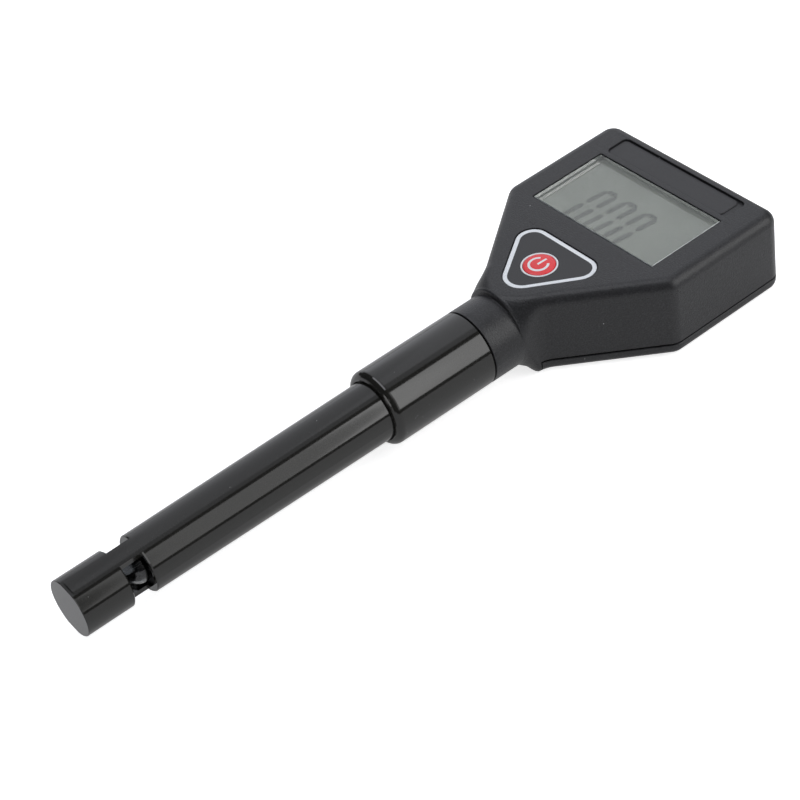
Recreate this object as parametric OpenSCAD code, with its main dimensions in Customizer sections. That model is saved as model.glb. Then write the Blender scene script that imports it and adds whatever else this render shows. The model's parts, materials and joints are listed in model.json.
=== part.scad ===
// Pocket pH meter: a house-shaped head with a display and one power key, a round neck,
// a screw collar, and a replaceable glass electrode in a slotted guard tube.
// The meter lies on its back: +Z is out of the display, +Y runs from the electrode's tip
// to the head. The origin is under the middle of the whole meter.

/* [Electrode] */
// Length of the end plug that closes the guard
plug_len = 13; // [8:0.5:20]
// Radius of the end plug
plug_r = 7.38; // [6.6:0.01:7.44]
// Depth of the plug's flats under the guard legs
plug_flat = 0.45; // [0.2:0.05:0.9]
// Length of the open window at the glass bulb
window_len = 6; // [5:0.5:10]
// Length of the tube from the window to the collar
tube_len = 69.3; // [50:0.1:90]
// Radius of the tube at its tip
tube_tip_r = 7.46; // [7.45:0.01:7.8]
// Radius of the tube at the collar
tube_top_r = 7.88; // [7.6:0.01:8]
// Wall of the tube and of the guard legs
tube_wall = 1.5; // [1:0.1:2]
// Width of each guard leg
leg_w = 4.96; // [3:0.01:7]
// Distance from the plug's end face to the ends of the legs
leg_back = 0.8; // [0.4:0.1:2]
// Turn of the guard legs about the tube, in degrees
guard_turn = 10; // [0:1:45]
// Radius of the glass bulb
bulb_r = 4.4; // [3.6:0.1:5]
// Radius of the glass stem
stem_r = 3.4; // [2.6:0.1:3.6]
// Wall of the glass
glass_wall = 0.6; // [0.4:0.1:1]
// Length of the glass stem above the bulb
stem_len = 46; // [30:1:50]
// Length of the seal round the stem
seal_len = 6; // [3:0.5:12]
// Radius of the silver wires
wire_r = 0.4; // [0.2:0.05:0.6]

/* [Collar] */
// Outer radius of the collar and of the neck
collar_r = 10; // [9.8:0.1:12]
// Length of the collar
collar_len = 30.6; // [26:0.1:40]
// Rounding of the collar's front shoulder
collar_round = 1.9; // [0.5:0.1:2.4]
// Width of the joint line between collar and neck
collar_gap = 0.25; // [0.1:0.05:0.6]
// Wall of the collar round its thread
collar_wall = 1; // [0.8:0.05:1.6]
// Length of the thread on the neck's spigot
thread_len = 11.5; // [8:0.5:14]
// Wall of the threaded spigot
spigot_wall = 1.8; // [1.2:0.1:2.4]
// Thickness of the flange that the collar clamps
flange_len = 3; // [2:0.5:4]
// Thickness of the washers on both sides of the flange
washer_t = 0.6; // [0.4:0.1:1]
// Radial clearance between moving round parts
run_gap = 0.2; // [0.12:0.02:0.3]

/* [Head] */
// Length of the neck between the collar and the head
neck_len = 8.9; // [6:0.1:14]
// Length of the throat between the neck and the flare
throat_len = 5.8; // [4:0.1:8]
// Width of the throat
throat_w = 20; // [20:0.5:24]
// Length of the flare
flare_len = 26.1; // [22:0.1:32]
// Length of the straight sides
side_len = 36.7; // [34:0.1:46]
// Width of the head
head_w = 60; // [58:0.5:72]
// Thickness of the head
head_t = 23.1; // [23:0.1:28]
// Height of the joint line above the back
seam_z = 3.4; // [3:0.1:5]
// Width of the joint line
seam_gap = 0.3; // [0.2:0.05:0.6]
// Wall of the shells
wall = 2; // [1.6:0.1:2.4]
// Rounding round the face
face_round = 3; // [1.5:0.1:3.5]
// Rounding round the back
back_round = 2.5; // [1:0.1:2.6]
// Corner radius at the far end
far_round = 5; // [4:0.1:8]
// Corner radius at the hips
hip_round = 4.5; // [4:0.1:8]

/* [Display] */
// Width of the lens window
window_w = 43.4; // [36:0.1:46]
// Height of the lens window
window_h = 23.9; // [20:0.1:25]
// Distance from the far end to the window's middle
window_back = 24.05; // [23.5:0.05:28]
// Thickness of the lens flange
lens_flange_t = 0.7; // [0.5:0.1:1.2]
// Width of the lens flange round the window
lens_flange_w = 1.9; // [1:0.1:3]
// Thickness of the adhesive gasket
gasket_t = 0.3; // [0.2:0.05:0.6]
// Gap round the lens in its window
lens_gap = 0.12; // [0.05:0.01:0.3]
// Thickness of the display glass
lcd_t = 2.6; // [2:0.1:3]
// Margin of the display glass beyond the window
lcd_margin = 1.6; // [1:0.1:3]
// Height of the conducting rubber strips
strip_h = 2; // [1.5:0.1:3]
// Width of the conducting rubber strips
strip_w = 2; // [1.4:0.1:2.4]

/* [Key] */
// Distance from the throat to the key's middle
key_back = 9.6; // [9:0.1:14]
// Radius of the red key
key_r = 4.1; // [3:0.05:5]
// Width of the white ring round the key
key_ring_w = 0.5; // [0.3:0.05:1]
// Travel of the key
key_travel = 0.4; // [0.2:0.05:0.6]
// Height of the key above the key plate
key_rise = 0.55; // [0.45:0.05:1.2]
// Half of the key plate's width at its flat side
plate_hw = 8.46; // [7:0.1:10]
// Distance from the key's middle to the flat side's corner centres
plate_top = 5.45; // [4:0.1:7]
// Distance from the key's middle to the point's corner centre
plate_point = 5.2; // [4:0.1:6]
// Corner radius of the key plate at its flat side
plate_top_r = 4.5; // [3.5:0.1:6]
// Corner radius of the key plate at its point
plate_point_r = 5.25; // [3.5:0.05:6]
// Thickness of the key plate
plate_t = 0.8; // [0.6:0.05:1]
// Depth of the plate's face below the head's face
plate_sink = 0.3; // [0.1:0.05:0.4]

/* [Name plate slot] */
// Length of the slot above the display
slot_w = 43; // [30:0.5:48]
// Height of the slot
slot_h = 7.2; // [5:0.1:7.4]
// Depth of the slot
slot_depth = 1; // [0.5:0.05:1.2]
// Distance from the far end to the slot's middle
slot_back = 6.8; // [6.5:0.05:8]
// Thickness of the plate in the slot
name_t = 0.55; // [0.3:0.05:0.6]

/* [Inside] */
// Thickness of the circuit board
board_t = 1.6; // [1:0.1:1.6]
// Gap between the board's edge and the shell
board_gap = 0.6; // [0.3:0.1:1]
// Distance from the throat to the board's near edge
board_near = 3.4; // [3:0.1:5]
// Radius of an AAA cell
cell_r = 5.2; // [5:0.05:5.25]
// Length of an AAA cell
cell_len = 44.5; // [43:0.1:44.6]
// Gap between the cells and round them
cell_gap = 0.35; // [0.2:0.05:0.6]
// Wall of the battery tray
tray_wall = 1; // [0.8:0.1:1.2]
// Room for the contacts at the ends of the cells
contact_room = 3.4; // [3:0.1:3.8]
// Radius of the screw bosses
boss_r = 3; // [2.6:0.1:3.2]
// Gap between the bosses and the wall beside them
boss_gap = 0.3; // [0.2:0.05:0.6]
// Radius of the cover screws
screw_r = 1.2; // [1:0.05:1.4]
// Depth of the board screws in their bosses
board_screw_in = 3.4; // [2.5:0.1:4]
// Height of the posts on the rear cover
post_h = 5.8; // [5:0.1:8]
// Distance from the head's side to each trimmer
trimmer_side = 10; // [9:0.5:12]
// Height of a trimmer
trimmer_h = 4.9; // [4:0.1:7]
// Gap between the battery door and the rear cover
door_gap = 0.2; // [0.15:0.05:0.3]
// Width of the door's tongues
tongue_w = 0.9; // [0.6:0.1:1.2]
// Thickness of the door's tongues
tongue_t = 0.7; // [0.5:0.1:0.8]

/* [Hidden] */

// Stations along the meter, from the tip to the far end
total_len = plug_len + window_len + tube_len + collar_len + neck_len + throat_len + flare_len + side_len;
y_tip = -total_len / 2;
y_plug = y_tip + plug_len;
y_window = y_plug + window_len;
y_collar = y_window + tube_len;
y_neck = y_collar + collar_len;
y_lip = y_neck + neck_len;
y_throat = y_lip + throat_len;
y_hip = y_throat + flare_len;
y_end = total_len / 2;
axis_z = head_t / 2;
y_cover = y_throat - 0.9;

// The flare's angle from the X axis
head_hw = head_w / 2;
throat_hw = throat_w / 2;
flare_a = atan2(flare_len, head_hw - throat_hw);

// Heights inside the head, from the face down
roof_z = head_t - wall;
flange_top_z = roof_z - gasket_t;
lcd_top_z = flange_top_z - lens_flange_t - 0.1;
lcd_low_z = lcd_top_z - lcd_t;
board_top_z = lcd_low_z - strip_h;
board_low_z = board_top_z - board_t;
plate_top_z = head_t - plate_sink;
plate_low_z = plate_top_z - plate_t;
key_top_z = plate_top_z + key_rise;
slot_low_z = head_t - slot_depth;

y_lcd = y_end - window_back;
y_key = y_throat + key_back;
y_slot = y_end - slot_back;

// Key plate corners as [x, y, radius] about the key
plate_corners = [[-plate_hw, plate_top, plate_top_r], [plate_hw, plate_top, plate_top_r],
    [0, -plate_point, plate_point_r]];
fit_gap = 0.1;

// Cover screws and board screws
boss_in = wall + boss_r + boss_gap;
boss_far = boss_in + max(far_round - boss_in, 0) * (1 - cos(45));
near_boss_in = 7.4;
y_near_boss = y_throat + near_boss_in;
boss_spots = [[head_hw - boss_far, y_end - boss_far], [flare_hw(y_near_boss, boss_in), y_near_boss]];
board_boss_r = 2.2;
board_screw_r = 0.9;
board_head_r = 1.9;
board_head_t = 1.2;
head_seat_z = 2.2;
screw_head_r = 2.3;
screw_head_t = 1.6;
cross_w = 2.6;
screw_top_z = 13;

// Battery bay
cell_x = cell_r + cell_gap / 2;
bay_hw = cell_x + cell_r + cell_gap;
bay_far = y_end - wall - tray_wall - 0.1;
bay_near = bay_far - cell_len - contact_room;
cell_z = wall + 0.15 + cell_r;
cell_near = bay_near + contact_room * 0.7;
nub_len = 0.8;
door_hw = bay_hw + 0.4;
door_near = bay_near - 0.8;
door_t = wall - 0.1;
tongue_z = 0.75;

// The board's screws: two beside the flare, two between the battery bay and the far bosses
near_screw_in = 15.9;
y_near_screw = y_throat + near_screw_in;
board_spots = [[flare_hw(y_near_screw, wall + board_boss_r + boss_gap), y_near_screw],
    [(bay_hw + tray_wall + head_hw - boss_far - boss_r) / 2, y_end - boss_in]];

// Trimmers hang under the board, and the chips lie past them
y_trimmer = y_hip + 7;
trimmer_x = head_hw - trimmer_side;
trimmer_w = 9.5;
y_chip = y_trimmer + trimmer_w / 2 + 3.5;
chip_w = 10;
trimmer_screw_r = 1.9;

// Power switch
switch_w = 6;
plunger_r = 1.7;
key_flange_t = 1;
key_foot_z = roof_z - key_travel - key_flange_t + 0.2;
switch_h = key_foot_z - board_top_z - 0.8;

// Electrode inside the collar and the neck
spigot_r = collar_r - collar_wall - run_gap;
neck_bore_r = spigot_r - spigot_wall;
y_spigot = y_neck - thread_len;
y_flange = y_spigot - washer_t;
y_tube_top = y_flange - flange_len;
y_step = y_tube_top - washer_t;
flange_r = spigot_r - 0.1;
tube_hole_r = tube_top_r + run_gap;
tube_bore_r = tube_tip_r - tube_wall;
head_pin_r = neck_bore_r - run_gap;
y_pin_end = y_neck + 2.2;
y_bulb = y_plug + 1.1 + bulb_r;
y_stem_top = y_bulb + stem_len;
socket_near = y_pin_end + 2.4;
socket_len = 5.4;
socket_far = socket_near + socket_len;
lead_hole_r = 4.5;
pin_r = 0.8;
sleeve_r = 3.4;
sleeve_wall = 0.5;
wire_in = 4;
oring_r = 0.8;
oring_in = head_pin_r - oring_r + run_gap - 0.04;
oring_room = 0.06;
y_oring = y_spigot + 5;

$fn = 64;
HULL_FN = 32;
EPS = 0.01;

// An arc's points, from angle a0 to a1
function arc(c, r, a0, a1, n = 6) =
    [for (i = [0:n]) c + r * [cos(a0 + (a1 - a0) * i / n), sin(a0 + (a1 - a0) * i / n)]];

function mirror_x(points) = [for (i = [len(points) - 1:-1:0]) [-points[i][0], points[i][1]]];

// Half width of the flare at y, drawn in by w
function flare_hw(y, w = 0) = throat_hw - w / sin(flare_a) + (y - y_throat) / tan(flare_a);

// The head's outline, drawn in by w and starting at y0
function head_half(w, y0) =
    let (side = head_hw - w,
        rh = max(hip_round - w, 0.5),
        rf = max(far_round - w, 0.5),
        y_corner = y_throat + (side - throat_hw + w / sin(flare_a)) * tan(flare_a))
    concat([[flare_hw(y0, w), y0]],
        arc([side - rh, y_corner + rh * tan(45 - flare_a / 2)], rh, flare_a - 90, 0),
        arc([side - rf, y_end - w - rf], rf, 0, 90));

function head_points(w, y0) = concat(head_half(w, y0), mirror_x(head_half(w, y0)));

// Corner pillars of the head as [x, y, radius]; the first stands inside the throat
foot_round = face_round + 0.5;
pillar_half = [[flare_hw(y_throat - 2, foot_round), y_throat - 2, foot_round],
    [head_hw - hip_round, y_hip + hip_round * tan(45 - flare_a / 2), hip_round],
    [head_hw - far_round, y_end - far_round, far_round]];

// A pillar's profile with its lower and upper edges rounded
function pillar_profile(r, z0, z1, low, high) =
    concat([[0, z0]], low > 0 ? arc([r - low, z0 + low], low, -90, 0) : [[r, z0]],
        high > 0 ? arc([r - high, z1 - high], high, 0, 90) : [[r, z1]], [[0, z1]]);

module both_sides() {
    children();
    mirror([1, 0, 0]) children();
}

// Places a child's Z axis along the meter, starting at y
module along(y) {
    translate([0, y, axis_z]) rotate([-90, 0, 0]) children();
}

module rod(y0, y1, r) {
    along(y0) cylinder(h = y1 - y0, r = r);
}

module ring(y0, y1, r_out, r_in) {
    along(y0) difference() {
        cylinder(h = y1 - y0, r = r_out);
        translate([0, 0, -1]) cylinder(h = y1 - y0 + 2, r = r_in);
    }
}

module box(x0, x1, y0, y1, z0, z1) {
    translate([x0, y0, z0]) cube([x1 - x0, y1 - y0, z1 - z0]);
}

// A box centred across the meter
module slab(half, y0, y1, z0, z1) {
    box(-half, half, y0, y1, z0, z1);
}

// The head's rounded block between two heights
module head_block(z0, z1, low, high) {
    hull() both_sides() for (p = pillar_half)
        translate([p[0], p[1], 0])
            rotate_extrude($fn = HULL_FN) polygon(pillar_profile(p[2], z0, z1, low, high));
}

// The throat blends the head's square end into a round lip over the neck
module throat_block() {
    lip_round = 0.8;
    rise = axis_z - collar_r;
    corner = face_round;
    hull() {
        for (side = [-1, 1]) translate([0, 0, side * rise]) {
            along(y_lip) cylinder(h = EPS, r = collar_r - lip_round, $fn = HULL_FN * 2);
            along(y_lip + lip_round) cylinder(h = EPS, r = collar_r, $fn = HULL_FN * 2);
        }
        for (x = [-1, 1], z = [corner, head_t - corner])
            translate([x * (throat_hw - corner), y_throat, z]) rotate([-90, 0, 0])
                cylinder(h = 3, r = corner, $fn = HULL_FN);
    }
}

module head_cavity(z0, z1) {
    translate([0, 0, z0]) linear_extrude(z1 - z0) polygon(head_points(wall, y_throat + 0.6));
}

module rounded_bar(half_w, half_h, r, h) {
    linear_extrude(h) hull() for (x = [-1, 1], y = [-1, 1])
        translate([x * (half_w - r), y * (half_h - r)]) circle(r);
}

module key_plate_form(h, grow = 0) {
    linear_extrude(h) hull() for (c = plate_corners) translate([c[0], c[1]]) circle(c[2] + grow);
}

module boss(spot, z0, r) {
    translate([spot[0], spot[1], z0]) cylinder(h = roof_z - z0 + EPS, r = r);
}

module drill(spot, z0, z1, r) {
    translate([spot[0], spot[1], z0]) cylinder(h = z1 - z0, r = r);
}

module front_shell() {
    rim_z = seam_z + seam_gap;
    color([0.2, 0.2, 0.21]) difference() {
        union() {
            difference() {
                union() {
                    head_block(rim_z, head_t, 0, face_round);
                    difference() {
                        throat_block();
                        slab(head_hw, y_cover - seam_gap, y_hip, -1, rim_z);
                    }
                }
                head_cavity(rim_z - 1, roof_z);
            }
            rod(y_neck, y_lip + 1, collar_r);
            rod(y_spigot, y_neck + 1, spigot_r);
            intersection() {
                head_cavity(post_h, roof_z + EPS);
                both_sides() {
                    for (s = boss_spots) boss(s, post_h + 0.1, boss_r);
                    for (s = board_spots) boss(s, board_top_z, board_boss_r);
                }
            }
        }
        rod(y_spigot - 1, socket_far, neck_bore_r);
        rod(socket_far - 1, y_throat + 2, lead_hole_r);
        slab(window_w / 2, y_lcd - window_h / 2, y_lcd + window_h / 2, roof_z - 1, head_t + 1);
        translate([0, y_key, plate_low_z]) key_plate_form(head_t, fit_gap);
        drill([0, y_key], roof_z - 1, head_t, key_r + run_gap);
        translate([0, y_slot, slot_low_z]) rounded_bar(slot_w / 2, slot_h / 2, 1.5, head_t);
        both_sides() {
            for (s = boss_spots) drill(s, post_h, screw_top_z + 1, screw_r + fit_gap);
            for (s = board_spots) drill(s, board_top_z - 1, roof_z - 1.2, board_screw_r + fit_gap);
        }
    }
}

// The opening that the battery door fills, with grooves for its tongues
module door_slot(gap) {
    slab(door_hw + gap, door_near - gap, y_end + 1, -1, wall + 1);
    slab(door_hw + tongue_w + gap, door_near - gap, y_end + 1, tongue_z - gap, tongue_z + tongue_t + gap);
}

module rear_cover() {
    color([0.19, 0.19, 0.2]) difference() {
        union() {
            difference() {
                head_block(0, seam_z, back_round, 0);
                head_cavity(wall, seam_z + 1);
            }
            both_sides() for (s = boss_spots)
                translate([s[0], s[1], EPS + 0.9]) cylinder(h = post_h - 0.9, r = boss_r);
        }
        slab(head_hw, y_tip, y_cover, -1, post_h);
        intersection() {
            door_slot(door_gap);
            slab(head_w, door_near - 1, y_end + 1, -1, wall + EPS);
        }
        slab(bay_hw, bay_near, bay_far, -1, seam_z + 1);
        both_sides() {
            for (s = boss_spots) {
                drill(s, -1, head_seat_z, screw_head_r + run_gap);
                drill(s, -1, post_h + 1, screw_r + 0.2);
            }
            drill([trimmer_x, y_trimmer], -1, wall + 1, trimmer_screw_r);
        }
    }
}

module battery_door() {
    color([0.19, 0.19, 0.2]) intersection() {
        head_block(0, seam_z, back_round, 0);
        union() {
            slab(door_hw, door_near, y_end + 1, -1, door_t);
            slab(door_hw + tongue_w, door_near, y_end - far_round, tongue_z, tongue_z + tongue_t);
        }
    }
}

module cover_gasket() {
    inset = 0.8;
    color([0.05, 0.05, 0.05]) translate([0, 0, seam_z]) linear_extrude(seam_gap) difference() {
        polygon(head_points(inset, y_cover + inset));
        polygon(head_points(inset + 0.9, y_throat + 0.6));
    }
}

module cover_screws() {
    color("silver") both_sides() for (s = boss_spots) difference() {
        union() {
            drill(s, head_seat_z - screw_head_t, head_seat_z, screw_head_r);
            drill(s, head_seat_z - EPS, screw_top_z, screw_r);
        }
        for (a = [0, 90]) translate([s[0], s[1], head_seat_z - screw_head_t]) rotate([0, 0, a])
            cube([cross_w, 0.5, 1.4], center = true);
    }
}

module board_screws() {
    color("silver") both_sides() for (s = board_spots) {
        drill(s, board_low_z - board_head_t, board_low_z, board_head_r);
        drill(s, board_low_z - EPS, board_top_z + board_screw_in, board_screw_r);
    }
}

module battery_tray() {
    low = wall;
    top = cell_z + cell_r + 0.2 + tray_wall * 0.6;
    color([0.12, 0.12, 0.13]) difference() {
        slab(bay_hw + tray_wall, bay_near - tray_wall, bay_far + tray_wall, low, top);
        slab(bay_hw, bay_near, bay_far, low - 1, cell_z + cell_r + 0.2);
    }
}

module battery_cells() {
    color([0.75, 0.6, 0.25]) for (side = [-1, 1])
        translate([side * cell_x, cell_near, cell_z]) rotate([-90, 0, 0]) {
            cylinder(h = cell_len - nub_len, r = cell_r);
            cylinder(h = cell_len, r = 1.9);
        }
}

// Contact plates at the far end of the bay, one for each cell
module battery_tabs() {
    near = cell_near + cell_len;
    color("silver") for (side = [-1, 1])
        box(side * cell_x - 3.5, side * cell_x + 3.5, near, bay_far, wall + 1, cell_z + cell_r);
}

// Cone-shaped return contacts at the near end of the bay, on their backing plate
module battery_springs() {
    plate = 0.5;
    sheet = 0.7;
    foot_r = 2.9;
    top_r = 1.7;
    depth = cell_near - bay_near;
    color("silver") union() {
        slab(bay_hw - 0.5, bay_near, bay_near + plate, wall + 1, cell_z + cell_r);
        for (side = [-1, 1]) translate([side * cell_x, bay_near + plate - EPS, cell_z]) rotate([-90, 0, 0])
            rotate_extrude() polygon([[foot_r, 0], [foot_r + sheet, 0], [top_r + sheet, depth - plate + EPS],
                [top_r, depth - plate + EPS]]);
    }
}

module circuit_board() {
    color([0.1, 0.35, 0.2]) translate([0, 0, board_low_z]) linear_extrude(board_t) difference() {
        polygon(head_points(wall + board_gap, y_throat + board_near));
        both_sides() {
            for (s = boss_spots) translate(s) circle(boss_r + 0.3);
            for (s = board_spots) translate(s) circle(board_screw_r + 0.2);
        }
    }
}

module meter_chip() {
    side = chip_w;
    y0 = y_chip;
    x0 = -trimmer_x - side / 2;
    color([0.08, 0.08, 0.09]) {
        box(x0, x0 + side, y0, y0 + side, board_low_z - 2, board_low_z - 0.2);
        for (i = [0:7]) box(x0 - 1, x0 + side + 1, y0 + 1.2 + i, y0 + 1.6 + i, board_low_z - 0.5, board_low_z);
    }
}

module signal_amplifier() {
    y0 = y_chip + 1.4;
    x0 = trimmer_x - 2;
    color([0.08, 0.08, 0.09]) {
        box(x0, x0 + 4, y0, y0 + 5, board_low_z - 1.6, board_low_z - 0.2);
        for (i = [0:3]) box(x0 - 1, x0 + 5, y0 + 0.5 + i * 1.2, y0 + 0.9 + i * 1.2, board_low_z - 0.5, board_low_z);
    }
}

module power_switch() {
    color([0.15, 0.15, 0.16]) translate([0, y_key, board_top_z]) difference() {
        translate([-switch_w / 2, -switch_w / 2, 0]) cube([switch_w, switch_w, switch_h]);
        translate([0, 0, 0.6]) cylinder(h = switch_h, r = plunger_r + fit_gap);
    }
}

module switch_plunger() {
    low_z = board_top_z + 0.6 + key_travel + 0.1;
    color([0.9, 0.9, 0.88]) drill([0, y_key], low_z, key_foot_z, plunger_r);
}

// The key has a flange under the face and a slightly domed top
module power_key() {
    dome = 0.25;
    color([0.9, 0.2, 0.22]) translate([0, y_key, 0]) rotate_extrude() polygon(concat(
        [[0, key_foot_z], [key_r + 1, key_foot_z], [key_r + 1, key_foot_z + key_flange_t],
            [key_r, key_foot_z + key_flange_t]],
        [[key_r, key_top_z - dome - 0.2], [key_r - 0.1, key_top_z - dome], [key_r * 0.6, key_top_z - dome * 0.35],
            [0, key_top_z]]));
}

module key_ring() {
    inner = key_r + 0.12;
    color("white") translate([0, y_key, plate_low_z]) difference() {
        cylinder(h = plate_t + 0.05, r = key_r + key_ring_w + 0.1);
        translate([0, 0, -1]) cylinder(h = plate_t + 2, r = inner);
    }
}

module key_plate() {
    color([0.16, 0.16, 0.165]) translate([0, y_key, plate_low_z]) difference() {
        key_plate_form(plate_t);
        translate([0, 0, -1]) cylinder(h = plate_t + 2, r = key_r + key_ring_w + 0.15);
    }
}

module name_plate() {
    left = slot_w / 2 - 0.6;
    right = slot_w / 2 - 2.1;
    color([0.18, 0.18, 0.185]) translate([(right - left) / 2, y_slot + 0.5, slot_low_z])
        rounded_bar((left + right) / 2, slot_h / 2 - 1.1, 0.8, name_t);
}

module display_lens() {
    hw = window_w / 2 - lens_gap;
    hh = window_h / 2 - lens_gap;
    low = flange_top_z - lens_flange_t;
    color([0.8, 0.85, 0.85, 0.4]) union() {
        slab(hw, y_lcd - hh, y_lcd + hh, low, head_t - 0.05);
        slab(window_w / 2 + lens_flange_w, y_lcd - window_h / 2 - lens_flange_w,
            y_lcd + window_h / 2 + lens_flange_w, low, flange_top_z);
    }
}

module lens_gasket() {
    color([0.05, 0.05, 0.05]) difference() {
        slab(window_w / 2 + lens_flange_w, y_lcd - window_h / 2 - lens_flange_w,
            y_lcd + window_h / 2 + lens_flange_w, flange_top_z, roof_z);
        slab(window_w / 2 + 0.3, y_lcd - window_h / 2 - 0.3, y_lcd + window_h / 2 + 0.3, flange_top_z - 1, roof_z + 1);
    }
}

lcd_hw = window_w / 2 + lcd_margin;
lcd_hh = window_h / 2 + lcd_margin;

module lcd_glass() {
    color([0.6, 0.63, 0.58]) slab(lcd_hw, y_lcd - lcd_hh, y_lcd + lcd_hh, lcd_low_z, lcd_top_z);
}

module lcd_frame() {
    rim = 1.3;
    ledge = 1.2;
    color([0.1, 0.1, 0.11]) difference() {
        slab(lcd_hw + rim, y_lcd - lcd_hh - rim, y_lcd + lcd_hh + rim, board_top_z, lcd_top_z);
        slab(lcd_hw + fit_gap, y_lcd - lcd_hh - fit_gap, y_lcd + lcd_hh + fit_gap, lcd_low_z, lcd_top_z + 1);
        slab(lcd_hw - ledge, y_lcd - lcd_hh, y_lcd + lcd_hh, board_top_z - 1, lcd_low_z + EPS);
    }
}

module contact_strips() {
    color([0.85, 0.5, 0.6]) for (side = [-1, 1]) {
        y = y_lcd + side * (lcd_hh - strip_w / 2 - 0.2);
        slab(lcd_hw - 2, y - strip_w / 2, y + strip_w / 2, board_top_z, lcd_low_z);
    }
}

// A trimmer's body, with a hole for its screw
module trimmer(x) {
    hw = trimmer_w / 2;
    low = board_low_z - trimmer_h;
    color([0.1, 0.25, 0.55]) difference() {
        box(x - hw, x + hw, y_trimmer - hw, y_trimmer + hw, low, board_low_z);
        drill([x, y_trimmer], 0, low + 2.2, trimmer_screw_r + fit_gap);
    }
}

module trimmer_screw(x) {
    low = board_low_z - trimmer_h - 0.5;
    color("gold") difference() {
        drill([x, y_trimmer], low, low + 2.6, trimmer_screw_r);
        translate([x, y_trimmer, low]) cube([3, 0.6, 1.4], center = true);
    }
}

module offset_trimmer() { trimmer(-trimmer_x); }

module slope_trimmer() { trimmer(trimmer_x); }

module offset_screw() { trimmer_screw(-trimmer_x); }

module slope_screw() { trimmer_screw(trimmer_x); }

// The socket's front has a hole for the pin and a ring slot for the sleeve
module probe_socket() {
    color([0.85, 0.83, 0.75]) difference() {
        union() {
            rod(socket_near, socket_far, neck_bore_r - fit_gap);
            rod(socket_far - EPS, y_throat + 0.4, lead_hole_r - fit_gap);
        }
        rod(socket_near - 1, socket_near + 4.4, pin_r + fit_gap);
        ring(socket_near - 1, socket_near + 3.8, sleeve_r + fit_gap, sleeve_r - sleeve_wall - fit_gap);
        for (x = [0, sleeve_r - 0.9]) translate([x, 0, 0]) rod(socket_near + 4.8, y_throat + 1, 0.55);
    }
}

module socket_tails() {
    color("silver") for (x = [0, sleeve_r - 0.9])
        translate([x, 0, 0]) rod(socket_near + 4.8, y_throat + 2, 0.5);
}

// Two short leads from the socket's tails up to the board
module signal_leads() {
    lead_r = 0.5;
    y0 = y_throat + 2;
    y1 = y_throat + 5.2;
    color("firebrick") for (x = [0, sleeve_r - 0.9]) translate([x, 0, 0]) {
        rod(y0, y1, lead_r);
        translate([0, y1, axis_z]) sphere(lead_r);
        translate([0, y1, axis_z]) cylinder(h = board_low_z - axis_z, r = lead_r);
    }
}

// The collar is a union nut: a plain sleeve with an inner step behind the electrode's flange
module collar_nut() {
    len = collar_len - collar_gap;
    edge = 0.3;
    thread_r = spigot_r + run_gap;
    color([0.08, 0.08, 0.085]) along(y_collar) rotate_extrude($fn = 96) polygon(concat(
        [[tube_hole_r, 0.4], [tube_hole_r + 0.4, 0]],
        arc([collar_r - collar_round, collar_round], collar_round, -90, 0, 8),
        [[collar_r, len - edge], [collar_r - edge, len], [thread_r, len],
            [thread_r, y_step - y_collar], [tube_hole_r, y_step - y_collar]]));
}

module collar_washer() {
    color([0.9, 0.9, 0.9]) ring(y_step, y_tube_top, flange_r, tube_top_r + 0.15);
}

module end_washer() {
    color([0.1, 0.1, 0.1]) ring(y_flange, y_spigot, flange_r, head_pin_r + 0.1);
}

// The tube tapers to its tip, and two legs of its wall run on past the window
module probe_tube() {
    leg_near = y_tip + leg_back;
    tip_r = tube_tip_r - (tube_top_r - tube_tip_r) * (y_window - leg_near) / tube_len;
    edge = 0.3;
    color([0.08, 0.08, 0.085]) union() {
        along(y_window) rotate_extrude($fn = 96) polygon([[tube_bore_r, 0], [tube_tip_r - edge, 0],
            [tube_tip_r, edge], [tube_top_r, tube_len], [tube_top_r, y_tube_top - y_window],
            [tube_bore_r, y_tube_top - y_window]]);
        along(leg_near) intersection() {
            difference() {
                cylinder(h = y_window - leg_near + 1, r1 = tip_r, r2 = tube_tip_r);
                translate([0, 0, -1]) cylinder(h = y_window - leg_near + 3, r = tube_bore_r);
            }
            rotate([0, 0, guard_turn])
                translate([-leg_w / 2, -tube_top_r, 0]) cube([leg_w, tube_top_r * 2, y_window - leg_near + 0.6]);
        }
    }
}

// The plug has a groove for each leg, round-floored as the leg is, and a shallow flat in front of it
module end_plug() {
    edge = 0.35;
    groove_w = leg_w + 0.06;
    floor_r = tube_bore_r - 0.05;
    color([0.09, 0.09, 0.095]) along(y_tip) difference() {
        rotate_extrude($fn = 96) polygon([[0, 0], [plug_r - 0.15, 0], [plug_r, 0.15], [plug_r, plug_len - edge],
            [plug_r - edge, plug_len], [0, plug_len]]);
        rotate([0, 0, guard_turn]) for (a = [0, 180]) rotate([0, 0, a]) {
            difference() {
                translate([-groove_w / 2, 0, leg_back - 0.04]) cube([groove_w, plug_r + 1, plug_len]);
                cylinder(h = plug_len + 1, r = floor_r);
            }
            translate([-groove_w / 2, plug_r - plug_flat, -1]) cube([groove_w, 2, plug_len]);
        }
    }
}

module glass_bulb() {
    inner_r = bulb_r - glass_wall;
    neck_a = asin(stem_r / bulb_r);
    neck_in = asin((stem_r - glass_wall) / inner_r);
    color([0.6, 0.7, 0.75, 0.5]) along(y_bulb) rotate_extrude() polygon(concat(
        arc([0, 0], bulb_r, -90, 90 - neck_a, 20), [[stem_r, stem_len], [stem_r - glass_wall, stem_len]],
        arc([0, 0], inner_r, 90 - neck_in, -90, 20)));
}

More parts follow.
